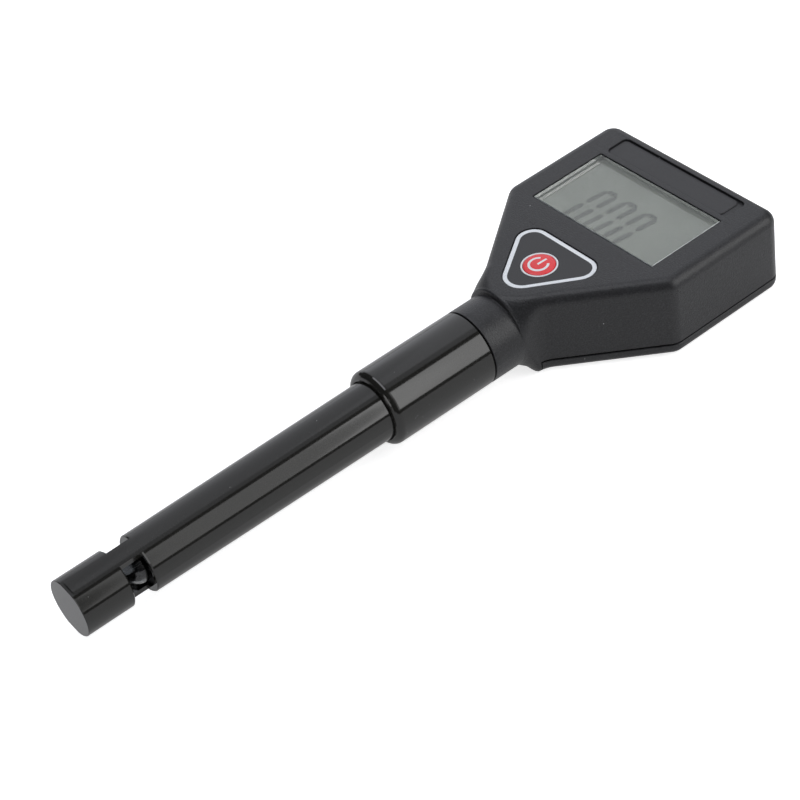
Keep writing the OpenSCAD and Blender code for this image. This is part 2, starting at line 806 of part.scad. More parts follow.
module bulb_seal() {
    low = y_window + 0.8;
    color([0.05, 0.05, 0.05]) difference() {
        ring(low, low + seal_len, tube_bore_r - 0.04, stem_r + 0.04);
        translate([0, 0, (tube_bore_r + stem_r) / 2]) rod(low - 1, low + seal_len + 1, 0.6);
        along(y_bulb) sphere(bulb_r + 0.05);
    }
}

module reference_wick() {
    color("white") translate([0, 0, (tube_bore_r + stem_r) / 2])
        rod(y_window + 0.7, y_window + seal_len + 3, 0.55);
}

module silver_wires() {
    y_top = y_tube_top - wire_in;
    side_x = (tube_bore_r + stem_r) / 2;
    color("silver") {
        rod(y_bulb - bulb_r * 0.3, y_top, wire_r);
        translate([side_x, 0, 0]) rod(y_window + seal_len + 3, y_top, wire_r);
    }
}

// The moulded top of the electrode: a spigot in the tube, the flange, and a pin in the neck
module probe_head() {
    spigot_in = 9;
    y_low = y_tube_top - spigot_in;
    side_x = (tube_bore_r + stem_r) / 2;
    color([0.12, 0.12, 0.13]) difference() {
        union() {
            rod(y_low, y_tube_top + EPS, tube_bore_r - 0.04);
            rod(y_tube_top, y_flange, flange_r);
            rod(y_flange - EPS, y_pin_end, head_pin_r);
        }
        ring(y_oring - oring_r - oring_room, y_oring + oring_r + oring_room, head_pin_r + 1,
            oring_in - oring_r - oring_room);
        for (x = [0, side_x]) translate([x, 0, 0]) rod(y_low - 1, y_tube_top - wire_in, wire_r + 0.1);
        rod(y_pin_end - 3, y_pin_end + 1, pin_r + 0.02);
        ring(y_pin_end - 3, y_pin_end + 1, sleeve_r + 0.02, sleeve_r - sleeve_wall - 0.02);
    }
}

module probe_oring() {
    color([0.02, 0.02, 0.02]) along(y_oring) rotate_extrude()
        translate([oring_in, 0]) circle(oring_r, $fn = 24);
}

module contact_pins() {
    color("gold") {
        rod(y_pin_end - 3, socket_near + 4, pin_r);
        ring(y_pin_end - 3, socket_near + 3.4, sleeve_r, sleeve_r - sleeve_wall);
    }
}

front_shell();
rear_cover();
cover_gasket();
cover_screws();
battery_door();
battery_tray();
battery_cells();
battery_springs();
battery_tabs();
circuit_board();
board_screws();
meter_chip();
signal_amplifier();
power_switch();
switch_plunger();
power_key();
key_ring();
key_plate();
name_plate();
display_lens();
lens_gasket();
lcd_glass();
lcd_frame();
contact_strips();
offset_trimmer();
slope_trimmer();
offset_screw();
slope_screw();
probe_socket();
socket_tails();
signal_leads();
collar_nut();
collar_washer();
probe_tube();
end_plug();
glass_bulb();
bulb_seal();
reference_wick();
silver_wires();
probe_head();
probe_oring();
end_washer();
contact_pins();
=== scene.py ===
# %% [markdown]
# # A pocket pH meter
# This lesson dresses a pocket pH meter. The meter lies on its back on a pale floor. It has a
# house-shaped head with a display and one power key, a round neck, a glossy screw collar, and a
# glossy guard tube that protects a glass bulb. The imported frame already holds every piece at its
# real size, so the lesson never moves a piece: it finishes the surfaces, and it models the forms
# that a plain solid can't show.

import json
import math

import bmesh
import bpy
from mathutils import Matrix, Vector, geometry


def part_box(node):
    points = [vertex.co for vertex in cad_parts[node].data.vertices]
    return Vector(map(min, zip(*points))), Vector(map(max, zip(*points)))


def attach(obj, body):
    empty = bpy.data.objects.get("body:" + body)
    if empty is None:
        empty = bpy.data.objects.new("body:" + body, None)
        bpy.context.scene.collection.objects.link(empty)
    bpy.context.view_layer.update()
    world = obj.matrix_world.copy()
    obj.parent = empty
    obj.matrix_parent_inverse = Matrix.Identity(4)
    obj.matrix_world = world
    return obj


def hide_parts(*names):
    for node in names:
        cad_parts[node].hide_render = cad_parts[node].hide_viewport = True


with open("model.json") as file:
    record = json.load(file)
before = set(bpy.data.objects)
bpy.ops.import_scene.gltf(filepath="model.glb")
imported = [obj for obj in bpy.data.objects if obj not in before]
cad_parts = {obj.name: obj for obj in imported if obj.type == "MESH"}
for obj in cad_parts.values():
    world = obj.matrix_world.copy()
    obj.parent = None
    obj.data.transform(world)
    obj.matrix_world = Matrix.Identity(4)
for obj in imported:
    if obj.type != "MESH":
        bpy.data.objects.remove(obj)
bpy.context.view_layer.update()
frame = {"nodes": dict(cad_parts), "record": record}

# %% [markdown]
# ## Sizes
# A mould maker thinks in millimetres, so the shapes below are written in millimetres and turned
# into metres when a mesh is made. Whatever the frame can tell is read from it: the head's width,
# its far end, the height of its face and the places of the display and the key.

# %% Read the sizes from the frame
MM = 0.001


def box_mm(node):
    """The lowest and highest corner of a node, in millimetres."""
    return [[round(c / MM, 3) for c in corner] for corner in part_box(node)]


shell_low, (HEAD_HALF, Y_END, FACE_Z) = box_mm("front_shell")
Y_SPIGOT, AXIS_Z = shell_low[1], FACE_Z / 2
collar_high = box_mm("collar_nut")[1]
COLLAR_GAP = 0.25
NECK_R, Y_NECK = collar_high[0], collar_high[1] + COLLAR_GAP
key_low, key_high = box_mm("power_key")
Y_KEY = (key_low[1] + key_high[1]) / 2
print("head half width", HEAD_HALF, "far end", Y_END, "face", FACE_Z)
print("neck radius", NECK_R, "neck", Y_NECK, "key", Y_KEY)

# %% [markdown]
# ## Shared surface effects
# Real plastic is never one flat colour: a spark-eroded mould leaves a fine grain, and dust settles
# on everything. Several finishes need the same effects, so each effect is a node group, built once
# and placed in each material with its own values. The groups work in object coordinates, in
# millimetres, so the grain keeps its real scale on every piece.

# %% Helpers for node groups


SOCKET_OF = {tuple: "NodeSocketColor", float: "NodeSocketFloat"}


def new_group(name, inputs, outputs):
    """A shader node group with named sockets. Gives the group, the sockets that its nodes read
    and the sockets that they feed."""
    group = bpy.data.node_groups.new(name, "ShaderNodeTree")
    for socket, value in inputs.items():
        item = group.interface.new_socket(name=socket, in_out="INPUT",
                                          socket_type=SOCKET_OF[type(value)])
        item.default_value = value
    for socket in outputs:
        kind = SOCKET_OF[tuple if socket == "Color" else float]
        group.interface.new_socket(name=socket, in_out="OUTPUT", socket_type=kind)
    given, wanted = group.nodes.new("NodeGroupInput"), group.nodes.new("NodeGroupOutput")
    return group, given.outputs, wanted.inputs


def add_node(tree, kind, **settings):
    """Adds a node. A setting names a property, or an input socket where it starts with 'in_'."""
    node = tree.nodes.new(kind)
    for key, value in settings.items():
        if key.startswith("in_"):
            node.inputs[int(key[3:]) if key[3:].isdigit() else key[3:]].default_value = value
        else:
            setattr(node, key, value)
    return node


def math_node(tree, operation, first, second, clamp=False):
    """A Math node whose inputs are either sockets or plain numbers; returns its output."""
    node = add_node(tree, "ShaderNodeMath", operation=operation, use_clamp=clamp)
    for place, value in enumerate((first, second)):
        if isinstance(value, (int, float)):
            node.inputs[place].default_value = value
        else:
            tree.links.new(value, node.inputs[place])
    return node.outputs[0]


def mix_colors(tree, factor, first, second):
    """A colour mix of two sockets by a mask socket; returns the mixed colour."""
    node = add_node(tree, "ShaderNodeMix", data_type="RGBA")
    tree.links.new(factor, node.inputs["Factor"])
    tree.links.new(first, node.inputs["A"])
    tree.links.new(second, node.inputs["B"])
    return node.outputs["Result"]


def surface_point(tree, size_socket):
    """Object coordinates in units of the given size in millimetres."""
    where = add_node(tree, "ShaderNodeTexCoord")
    scale = math_node(tree, "DIVIDE", 1000.0, size_socket)
    move = add_node(tree, "ShaderNodeVectorMath", operation="SCALE")
    tree.links.new(where.outputs["Object"], move.inputs[0])
    tree.links.new(scale, move.inputs["Scale"])
    return move.outputs[0]


def noise(tree, vector, detail, roughness):
    """The height of a noise texture, between 0 and 1."""
    node = add_node(tree, "ShaderNodeTexNoise", in_Scale=1.0, in_Detail=detail,
                    in_Roughness=roughness)
    tree.links.new(vector, node.inputs["Vector"])
    return node.outputs[0]


def swing(tree, height, amount):
    """A height turned into a change up and down by half an amount."""
    return math_node(tree, "MULTIPLY", math_node(tree, "SUBTRACT", height, 0.5), amount)


print("helpers ready")

# %% Moulded grain: the fine dimples of a spark-eroded mould
grain, given, wanted = new_group(
    "moulded grain",
    {"Color": (0.03, 0.03, 0.03, 1), "Light Color": (0.06, 0.06, 0.06, 1), "Grain Size": 0.25,
     "Patch Size": 12.0, "Roughness": 0.45, "Spread": 0.1},
    ("Color", "Roughness", "Height"))
fine = noise(grain, surface_point(grain, given["Grain Size"]), 2.0, 0.6)
patch = noise(grain, surface_point(grain, given["Patch Size"]), 3.0, 0.55)
fine_step = add_node(grain, "ShaderNodeMapRange", in_1=0.42, in_2=0.75)
grain.links.new(fine, fine_step.inputs[0])
both = math_node(grain, "MULTIPLY", fine_step.outputs[0], math_node(grain, "ADD", patch, 0.35),
                 clamp=True)
grain.links.new(mix_colors(grain, both, given["Color"], given["Light Color"]), wanted["Color"])
swings = [swing(grain, height, given["Spread"]) for height in (patch, fine)]
grain.links.new(math_node(grain, "ADD", given["Roughness"], math_node(grain, "ADD", *swings),
                          clamp=True), wanted["Roughness"])
grain.links.new(fine, wanted["Height"])
print("group:", grain.name)

# %% Settled dust: small pale specks
dust, given, wanted = new_group(
    "settled dust",
    {"Color": (0.02, 0.02, 0.02, 1), "Dust Color": (0.5, 0.5, 0.5, 1), "Speck Spacing": 2.0,
     "Speck Radius": 0.05, "Share": 0.4},
    ("Color", "Mask"))
cells = add_node(dust, "ShaderNodeTexVoronoi", in_Scale=1.0, in_Randomness=1.0)
dust.links.new(surface_point(dust, given["Speck Spacing"]), cells.inputs["Vector"])
near = math_node(dust, "LESS_THAN", cells.outputs["Distance"], given["Speck Radius"])
split = add_node(dust, "ShaderNodeSeparateColor")
dust.links.new(cells.outputs["Color"], split.inputs[0])
chosen = math_node(dust, "LESS_THAN", split.outputs[0], given["Share"])
speck = math_node(dust, "MULTIPLY", near, chosen)
dust.links.new(mix_colors(dust, speck, given["Color"], given["Dust Color"]), wanted["Color"])
dust.links.new(speck, wanted["Mask"])
print("group:", dust.name)

# %% Turning lines: the fine tool marks of a turned or drawn metal piece
lines, given, wanted = new_group(
    "turning lines",
    {"Color": (0.5, 0.5, 0.5, 1), "Dark Color": (0.3, 0.3, 0.3, 1), "Line Width": 0.15,
     "Roughness": 0.3, "Spread": 0.15},
    ("Color", "Roughness", "Height"))
stretch = add_node(lines, "ShaderNodeVectorMath", operation="MULTIPLY", in_1=(0.12, 1.0, 0.12))
lines.links.new(surface_point(lines, given["Line Width"]), stretch.inputs[0])
marks = noise(lines, stretch.outputs[0], 3.0, 0.6)
lines.links.new(mix_colors(lines, marks, given["Dark Color"], given["Color"]), wanted["Color"])
lines.links.new(math_node(lines, "ADD", given["Roughness"], swing(lines, marks, given["Spread"]),
                          clamp=True), wanted["Roughness"])
lines.links.new(marks, wanted["Height"])
print("group:", lines.name)

# %% [markdown]
# ## Finishes
# Each finish is one Principled material. Its fixed numbers, such as the index of refraction, are
# set on the shader itself. The effect groups feed only what changes over the surface.

# %% Helpers for finishes
FINISHES = {}


def rgba(color):
    return (*color, 1.0) if len(color) == 3 else tuple(color)


def start_finish(name, ior=1.5, metallic=0.0, **sockets):
    """Starts the finish of that name: one Principled shader whose other sockets are named with
    underscores. Gives the node tree and the shader."""
    material = bpy.data.materials.new(name)
    material.use_nodes = True
    tree = material.node_tree
    tree.nodes.clear()
    out = add_node(tree, "ShaderNodeOutputMaterial")
    shader = add_node(tree, "ShaderNodeBsdfPrincipled", in_IOR=ior, in_Metallic=metallic)
    tree.links.new(shader.outputs[0], out.inputs[0])
    for socket, value in sockets.items():
        shader.inputs[socket.replace("_", " ")].default_value = value
    FINISHES[name] = material
    return tree, shader


def choose_by_ray(tree, ray, otherwise, chosen):
    """Feeds the output with one shader for a kind of ray, and another for the rest."""
    path, mix = add_node(tree, "ShaderNodeLightPath"), add_node(tree, "ShaderNodeMixShader")
    tree.links.new(path.outputs[ray], mix.inputs[0])
    tree.links.new(otherwise.outputs[0], mix.inputs[1])
    tree.links.new(chosen.outputs[0], mix.inputs[2])
    out = next(node for node in tree.nodes if node.type.startswith("OUTPUT"))
    tree.links.new(mix.outputs[0], out.inputs[0])


def place_group(tree, group, **values):
    node = add_node(tree, "ShaderNodeGroup", node_tree=group)
    for socket, value in values.items():
        node.inputs[socket.replace("_", " ")].default_value = value
    return node


def add_bump(tree, shader, height, depth_mm):
    bump = add_node(tree, "ShaderNodeBump", in_Strength=1.0, in_Distance=depth_mm * MM)
    tree.links.new(height, bump.inputs["Height"])
    tree.links.new(bump.outputs[0], shader.inputs["Normal"])


print("finish helpers ready")

# %% The two kinds of finish


def moulded_finish(name, color, light, grain_mm, rough, spread=0.1, depth_mm=0.02, dusty=0.3,
                   dust_color=(0.35, 0.35, 0.36), spacing=2.2, speck=0.04, **sockets):
    """Moulded plastic or rubber: grain, then a little dust."""
    tree, shader = start_finish(name, **sockets)
    grained = place_group(tree, grain, Color=rgba(color), Light_Color=rgba(light),
                          Grain_Size=grain_mm, Roughness=rough, Spread=spread)
    specks = place_group(tree, dust, Dust_Color=rgba(dust_color), Speck_Spacing=spacing,
                         Speck_Radius=speck, Share=dusty)
    tree.links.new(grained.outputs["Color"], specks.inputs["Color"])
    tree.links.new(specks.outputs["Color"], shader.inputs["Base Color"])
    tree.links.new(grained.outputs["Roughness"], shader.inputs["Roughness"])
    if depth_mm:
        add_bump(tree, shader, grained.outputs["Height"], depth_mm)


METAL_SPREAD, LINE_DEPTH_MM = 0.2, 0.004


def metal_finish(name, color, dark, line_mm, rough):
    """Turned, drawn or plated metal with fine lines."""
    tree, shader = start_finish(name, metallic=1.0)
    marked = place_group(tree, lines, Color=rgba(color), Dark_Color=rgba(dark), Line_Width=line_mm,
                         Roughness=rough, Spread=METAL_SPREAD)
    tree.links.new(marked.outputs["Color"], shader.inputs["Base Color"])
    tree.links.new(marked.outputs["Roughness"], shader.inputs["Roughness"])
    add_bump(tree, shader, marked.outputs["Height"], LINE_DEPTH_MM)


print("moulded and metal finishes ready")

# %% [markdown]
# ### Black plastics
# The case has the fine texture of a spark-eroded mould, and the collar and the guard tube are
# polished, so they differ more in gloss than in colour. The dimples of the texture are a third of a
# millimetre wide. Modelling each would take millions of faces, so a bump takes the grain's height.

# %% Black plastics of the case
moulded_finish("shell_black", (0.019, 0.0192, 0.0205), (0.040, 0.0403, 0.0433), 0.36, 0.31, 0.12,
               depth_mm=0.085, dusty=0.12, spacing=3.2, speck=0.042, Specular_IOR_Level=0.32)
moulded_finish("gloss_black", (0.0121, 0.0118, 0.0104), (0.0168, 0.0164, 0.0146), 0.5, 0.10, 0.05,
               depth_mm=0.0, dusty=0.22, spacing=2.4, speck=0.03, dust_color=(0.45, 0.45, 0.46))
moulded_finish("inner_black", (0.016, 0.016, 0.018), (0.03, 0.03, 0.032), 0.4, 0.5, 0.1)
moulded_finish("plate_charcoal", (0.028, 0.028, 0.030), (0.038, 0.038, 0.040), 0.3, 0.42, 0.08,
               depth_mm=0.006, dusty=0.12, Specular_IOR_Level=0.35)
moulded_finish("chip_black", (0.02, 0.02, 0.022), (0.035, 0.035, 0.037), 0.2, 0.45, 0.1)
print(len(FINISHES), "black finishes")

# %% [markdown]
# ### Coloured plastics, rubber and metals
# The rest of the meter is smaller parts: a red key, red leads, white switches and blue trimmers of
# shiny plastic, dull rubber seals, and turned or stamped metal. One call for each finish keeps them
# easy to compare: two close colours, the size of the grain in millimetres, and the roughness.

# %% Rubber, white and coloured plastics
moulded_finish("seal_rubber", (0.014, 0.014, 0.015), (0.028, 0.028, 0.03), 0.35, 0.7, 0.1)
moulded_finish("strip_rubber", (0.55, 0.27, 0.34), (0.62, 0.33, 0.4), 0.5, 0.6, 0.08)
moulded_finish("lead_red", (0.42, 0.02, 0.02), (0.55, 0.04, 0.035), 0.5, 0.45, 0.1)
moulded_finish("switch_white", (0.78, 0.78, 0.75), (0.86, 0.86, 0.83), 0.5, 0.4, 0.1)
moulded_finish("socket_ivory", (0.66, 0.63, 0.52), (0.75, 0.72, 0.61), 0.5, 0.42, 0.1)
moulded_finish("washer_white", (0.80, 0.80, 0.80), (0.88, 0.88, 0.88), 0.6, 0.35, 0.1)
moulded_finish("wick_white", (0.76, 0.75, 0.71), (0.88, 0.87, 0.83), 0.25, 0.85, 0.1, depth_mm=0.05)
moulded_finish("ring_white", (0.74, 0.77, 0.80), (0.82, 0.84, 0.86), 0.4, 0.3, 0.06, depth_mm=0.003)
moulded_finish("key_red", (0.74, 0.030, 0.038), (0.82, 0.044, 0.052), 0.35, 0.34, 0.08,
               depth_mm=0.004, dusty=0.15)
moulded_finish("trimmer_blue", (0.02, 0.07, 0.36), (0.03, 0.1, 0.45), 0.4, 0.3, 0.08,
               depth_mm=0.004)
moulded_finish("board_green", (0.012, 0.11, 0.045), (0.02, 0.15, 0.06), 1.2, 0.35, 0.1,
               depth_mm=0.01, spacing=3.0)
print(len(FINISHES), "finishes so far")

# %% Metals
metal_finish("screw_steel", (0.58, 0.58, 0.59), (0.42, 0.42, 0.44), 0.12, 0.32)
metal_finish("contact_nickel", (0.70, 0.68, 0.64), (0.56, 0.54, 0.50), 0.15, 0.26)
metal_finish("cell_can", (0.66, 0.52, 0.20), (0.56, 0.43, 0.15), 0.3, 0.30)
metal_finish("screw_brass", (0.72, 0.52, 0.20), (0.56, 0.38, 0.13), 0.1, 0.28)
metal_finish("pin_brass", (0.83, 0.62, 0.25), (0.70, 0.50, 0.18), 0.12, 0.22)
metal_finish("silver_wire", (0.85, 0.85, 0.84), (0.70, 0.70, 0.69), 0.08, 0.18)
print(len(FINISHES), "finishes so far")

# %% [markdown]
# ## Glass and clear plastic
# Two pieces let light through: the display lens and the blown bulb at the tip. Glass in a renderer
# blocks light, and the parts under it turn black. So a Light Path node swaps the glass for a plain
# clear shader where the ray is only a shadow ray. The liquid crystal cell under the lens looks like
# a matt grey-green card, so its finish is an opaque one.

# %% Clear finishes


def clear_finish(name, color, ior, rough, smear_mm, smear=0.06):
    """Glass or clear acrylic with faint smears in its gloss, and clear for shadow rays."""
    tree, shader = start_finish(name, ior=ior, Transmission_Weight=1.0)
    shader.inputs["Base Color"].default_value = rgba(color)
    smears = place_group(tree, grain, Color=rgba(color), Light_Color=rgba(color),
                         Grain_Size=smear_mm, Patch_Size=smear_mm * 5, Roughness=rough,
                         Spread=smear)
    tree.links.new(smears.outputs["Roughness"], shader.inputs["Roughness"])
    pane = add_node(tree, "ShaderNodeBsdfTransparent", in_Color=rgba(color))
    choose_by_ray(tree, "Is Shadow Ray", shader, pane)


clear_finish("lens_clear", (0.95, 0.965, 0.96), 1.47, 0.008, 6.0, 0.006)
# the grey tint of this clear glass is painted shade: it darkens the bulb for the shade inside the
# guard tube
clear_finish("bulb_glass", (0.30, 0.31, 0.32), 1.5, 0.04, 2.0, 0.03)
moulded_finish("display_glass", (0.130, 0.138, 0.116), (0.152, 0.161, 0.137), 9.0, 0.5, 0.06,
               depth_mm=0.0, dusty=0.1, Specular_IOR_Level=0.1)
print(len(FINISHES), "finishes in all")

# %% [markdown]
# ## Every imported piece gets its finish
# The record names a material slot for every node. The slot names are the finish names, so one
# loop dresses the whole instrument, also the parts that the closed case hides.

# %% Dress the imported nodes
SLOT_OF = {part["node"]: part["material_slot"] for part in frame["record"]["subparts"]}
for node, solid in frame["nodes"].items():
    solid.data.materials.clear()
    solid.data.materials.append(FINISHES[SLOT_OF[node]])
print("dressed", len(SLOT_OF), "nodes")

# %% [markdown]
# ## Studio
# The meter lies on a white floor in soft light. Its gloss shows what stands round it, so each light
# is a flat soft box that is placed by its angle round the tube's axis and its reach along the tube.
# The boxes on the right draw the crisp pale band along the tube, and those on the left a weaker one
# and the light on the face. Each side is cut into steps that grow brighter towards the head, as the
# bands do. The boxes are hidden from the camera, and the world is dark for everything but the
# camera, so that the black plastic stays black.

# %% Camera
CAMERA_AT = Vector((0.36037, -0.23551, 0.38635))
CAMERA_RIGHT = Vector((0.63181, 0.76403, -0.13069))
CAMERA_UP = Vector((-0.4505, 0.49915, 0.7402))
camera_data = bpy.data.cameras.new("camera")
camera_data.lens, camera_data.sensor_width = 106.9, 36.0
camera_data.shift_x, camera_data.shift_y = 0.0002, 0.0007
camera_data.clip_start, camera_data.clip_end = 0.01, 20.0
camera = bpy.data.objects.new("camera", camera_data)
bpy.context.scene.collection.objects.link(camera)
back = CAMERA_RIGHT.cross(CAMERA_UP).normalized()
turn = Matrix((CAMERA_RIGHT.normalized(), CAMERA_UP.normalized(), back)).transposed()
camera.matrix_world = Matrix.Translation(CAMERA_AT) @ turn.to_4x4()
bpy.context.scene.camera = camera
bpy.context.scene.view_settings.view_transform = "Standard"
print("camera", [round(c, 3) for c in camera.matrix_world.translation])

# %% Floor
FLOOR_REACH, FLOOR_RINGS, FLOOR_SECTORS, FLOOR_Z = 3.0, 12, 48, -0.0002
floor_mesh = bpy.data.meshes.new("floor")
floor_points, floor_faces = [], [tuple(range(FLOOR_SECTORS))]
for ring in range(FLOOR_RINGS):
    radius, first = FLOOR_REACH * (ring + 1) / FLOOR_RINGS, ring * FLOOR_SECTORS
    for k in range(FLOOR_SECTORS):
        angle = 2 * math.pi * k / FLOOR_SECTORS
        floor_points.append((radius * math.cos(angle), radius * math.sin(angle), FLOOR_Z))
        if ring:
            near, after = first - FLOOR_SECTORS, (k + 1) % FLOOR_SECTORS
            floor_faces.append((near + k, first + k, first + after, near + after))
floor_mesh.from_pydata(floor_points, [], floor_faces)
floor = bpy.data.objects.new("floor", floor_mesh)
bpy.context.scene.collection.objects.link(floor)
tree, shader = start_finish("floor_white", Specular_IOR_Level=0.0, Roughness=0.9,
                            Emission_Color=(1, 1, 1, 1), Emission_Strength=0.75)
floor_tone = place_group(tree, grain, Color=(0.93, 0.93, 0.93, 1),
                         Light_Color=(0.96, 0.96, 0.96, 1), Grain_Size=40.0, Patch_Size=200.0)
tree.links.new(floor_tone.outputs["Color"], shader.inputs["Base Color"])
# what the meter mirrors of the floor is darker than what the camera sees of it
mirrored = add_node(tree, "ShaderNodeBsdfPrincipled", in_Roughness=0.9)
for socket, value in (("Base Color", (0.6, 0.6, 0.6, 1)), ("Emission Color", (1, 1, 1, 1)),
                      ("Emission Strength", 0.33), ("Specular IOR Level", 0.0)):
    mirrored.inputs[socket].default_value = value
choose_by_ray(tree, "Is Camera Ray", mirrored, shader)
floor_mesh.materials.append(FINISHES["floor_white"])
print("floor laid")

# %% Helpers for the lights


def soft_box(name, direction, distance, width, height, radiance, up=(0, 0, 1)):
    """A rectangular light at a distance along a direction from the meter, facing the meter.
    A flat lamp of area A that shows a radiance L sends pi A L watts."""
    data = bpy.data.lights.new(name, "AREA")
    data.shape, data.size, data.size_y = "RECTANGLE", width, height
    data.energy = radiance * math.pi * width * height
    lamp = bpy.data.objects.new(name, data)
    bpy.context.scene.collection.objects.link(lamp)
    out = Vector(direction).normalized()
    side = Vector(up).cross(out).normalized()
    top = out.cross(side)
    lamp.matrix_world = (Matrix.Translation(out * distance)
                         @ Matrix((side, top, out)).transposed().to_4x4())
    lamp.visible_camera = False
    return lamp


STAND_OFF = 1.4                      # from the tube's axis to the soft boxes beside it


def arc_box(name, angles, reach, radiance, color=(1, 1, 1)):
    """A soft box beside the tube, from one angle round the tube's axis to another, in degrees
    from +X towards +Z, and from one place along the tube's direction to another."""
    (low, high), (start_y, end_y) = angles, reach
    middle, half = math.radians((low + high) / 2), math.radians(abs(high - low) / 2)
    out = Vector((math.cos(middle), 0, math.sin(middle)))
    lamp = soft_box(name, out, STAND_OFF, end_y - start_y, 2 * STAND_OFF * math.tan(half),
                    radiance, up=out.cross(Vector((0, 1, 0))))
    lamp.matrix_world = Matrix.Translation((0, (start_y + end_y) / 2, 0)) @ lamp.matrix_world
    lamp.data.color = color


print("light helpers ready")

# %% World: white for the camera, and nearly dark for the meter
world = bpy.data.worlds.new("studio")
bpy.context.scene.world = world
world.use_nodes = True
sky = world.node_tree
sky.nodes.clear()
add_node(sky, "ShaderNodeOutputWorld")
seen = add_node(sky, "ShaderNodeBackground", in_Color=(1, 1, 1, 1), in_Strength=1.0)
felt = add_node(sky, "ShaderNodeBackground", in_Color=(0.9, 0.95, 1.0, 1), in_Strength=0.05)
choose_by_ray(sky, "Is Camera Ray", felt, seen)
print("world", world.name)

# %% Soft boxes
COOL = (0.972, 0.988, 1.05)
RIGHT_BOX, LEFT_BOX = (63.7, 9.6), (89.0, 178.5)         # degrees round the tube's axis
EDGE_PANEL, OVERHEAD_BOX = (75.0, 89.0), (76.0, 126.0)
EDGE_SHARE = 0.6
# along the tube both sides grow brighter towards the head: (start, end), radiance
RIGHT_STEPS = (((-0.60, 0.05), 0.08), ((0.05, 0.31), 0.34), ((0.31, 0.58), 1.5),
               ((0.58, 0.67), 3.7), ((0.67, 1.95), 3.1))
LEFT_STEPS = (((0.20, 0.33), 0.58), ((0.33, 0.66), 0.84), ((0.66, 1.95), 1.10))
for k, (reach, radiance) in enumerate(RIGHT_STEPS, 1):
    arc_box(f"right soft box {k}", RIGHT_BOX, reach, radiance)
for k, (reach, radiance) in enumerate(LEFT_STEPS, 1):
    arc_box(f"left soft box {k}", LEFT_BOX, reach, radiance, COOL)
    arc_box(f"edge panel {k}", EDGE_PANEL, reach, EDGE_SHARE * radiance, COOL)
# this one shows on the rounded edge over the throat alone
arc_box("overhead soft box", OVERHEAD_BOX, (-0.38, 0.20), 3.2, COOL)
soft_box("front fill", (0.20, -0.95, 0.24), 1.6, 0.7, 0.7, 2.3)

# %% [markdown]
# ## The head's outline
# Seen from above, the head is a house: a narrow throat, two flaring sides, straight sides and a
# square far end, all with rounded corners. A mould maker draws one outline and draws it inward
# for every step of a rounded edge. The functions below do the same, so the edge rounding, the
# joint line and the rear cover all come from one outline.

# %% Sizes of the outline
THROAT_HALF = 10.0
Y_LIP = Y_NECK + 8.9
Y_THROAT = Y_LIP + 5.8
FLARE_LENGTH = 26.1                  # from the throat to the hip, along the meter
SEAM_Z, SEAM_GAP, WALL = 3.4, 0.3, 2.0
FACE_ROUND, BACK_ROUND, HIP_ROUND, FAR_ROUND = 3.0, 2.5, 4.5, 4.0
BLEND = 6.5                          # hollow rounding between throat and flare
FLARE = math.atan2(FLARE_LENGTH, HEAD_HALF - THROAT_HALF)
Y_BLEND = Y_THROAT - BLEND * (1 / math.sin(FLARE) - 1) * math.tan(FLARE)
Y_COVER = Y_THROAT - 0.9
RIM = 0.7                            # rounding of the lip's rim
JOIN_Y = Y_THROAT + 6.6              # where the throat's sections meet the head's outline
print("flare", round(math.degrees(FLARE), 2), "degrees, throat at", round(Y_THROAT, 2))

# %% Helpers for the outline


def arc(center, radius, first, last, steps):
    """Points of a circle from one angle to another, in degrees."""
    angles = [math.radians(first + (last - first) * k / steps) for k in range(steps + 1)]
    return [(center[0] + radius * math.cos(a), center[1] + radius * math.sin(a)) for a in angles]


def spread(first, last, steps):
    """Points strictly between two points."""
    return [tuple(p + (q - p) * k / steps for p, q in zip(first, last)) for k in range(1, steps)]


def both_halves(half):
    """A right half and its mirror image as one row of points."""
    return half + [(-p[0], *p[1:]) for p in reversed(half[:-1])]


print("outline helpers ready")

# %% Outline of the head


def side_x(y, inset):
    """Half width of the throat and flare at y, drawn inward."""
    reach = BLEND + inset
    if y <= Y_BLEND:
        return THROAT_HALF - inset
    if y < Y_BLEND + reach * math.cos(FLARE):
        return THROAT_HALF + BLEND - math.sqrt(reach ** 2 - (y - Y_BLEND) ** 2)
    return THROAT_HALF - inset / math.sin(FLARE) + (y - Y_THROAT) / math.tan(FLARE)


def head_half(inset):
    """Right half of the outline: flare, hip, side, far corner and far end."""
    hip = (HEAD_HALF - HIP_ROUND,
           Y_THROAT + FLARE_LENGTH + HIP_ROUND * math.tan(math.pi / 4 - FLARE / 2))
    hip_arc = arc(hip, HIP_ROUND - inset, math.degrees(FLARE) - 90, 0, 8)
    far_arc = arc((HEAD_HALF - FAR_ROUND, Y_END - FAR_ROUND), FAR_ROUND - inset, 0, 90, 10)
    start = (side_x(JOIN_Y, inset), JOIN_Y)
    return ([start] + spread(start, hip_arc[0], 8) + hip_arc
            + spread(hip_arc[-1], far_arc[0], 8) + far_arc
            + spread(far_arc[-1], (0, Y_END - inset), 6) + [(0, Y_END - inset)])


print("outline points", len(both_halves(head_half(0))))

# %% [markdown]
# ## Building helpers
# Each modelled piece is a list of polygons in millimetres. One function welds them into a mesh,
# turns the faces outward, shades the curves smooth and keeps real corners sharp. A flat face with
# holes is cut into triangles by Blender's own tessellator.

# %% Helpers for faces


def flat_fill(outer, holes=()):
    """Triangles that fill a flat outline with holes; points are (x, y, z)."""
    loops = [[Vector(p) for p in loop] for loop in (outer, *holes)]
    points = [p for loop in loops for p in loop]
    return [tuple(tuple(points[k]) for k in corners)
            for corners in geometry.tessellate_polygon(loops)]


def strip(lower, upper, closed=False):
    """Quads between two rows of points."""
    count = len(lower)
    return [(lower[k], lower[(k + 1) % count], upper[(k + 1) % count], upper[k])
            for k in range(count if closed else count - 1)]


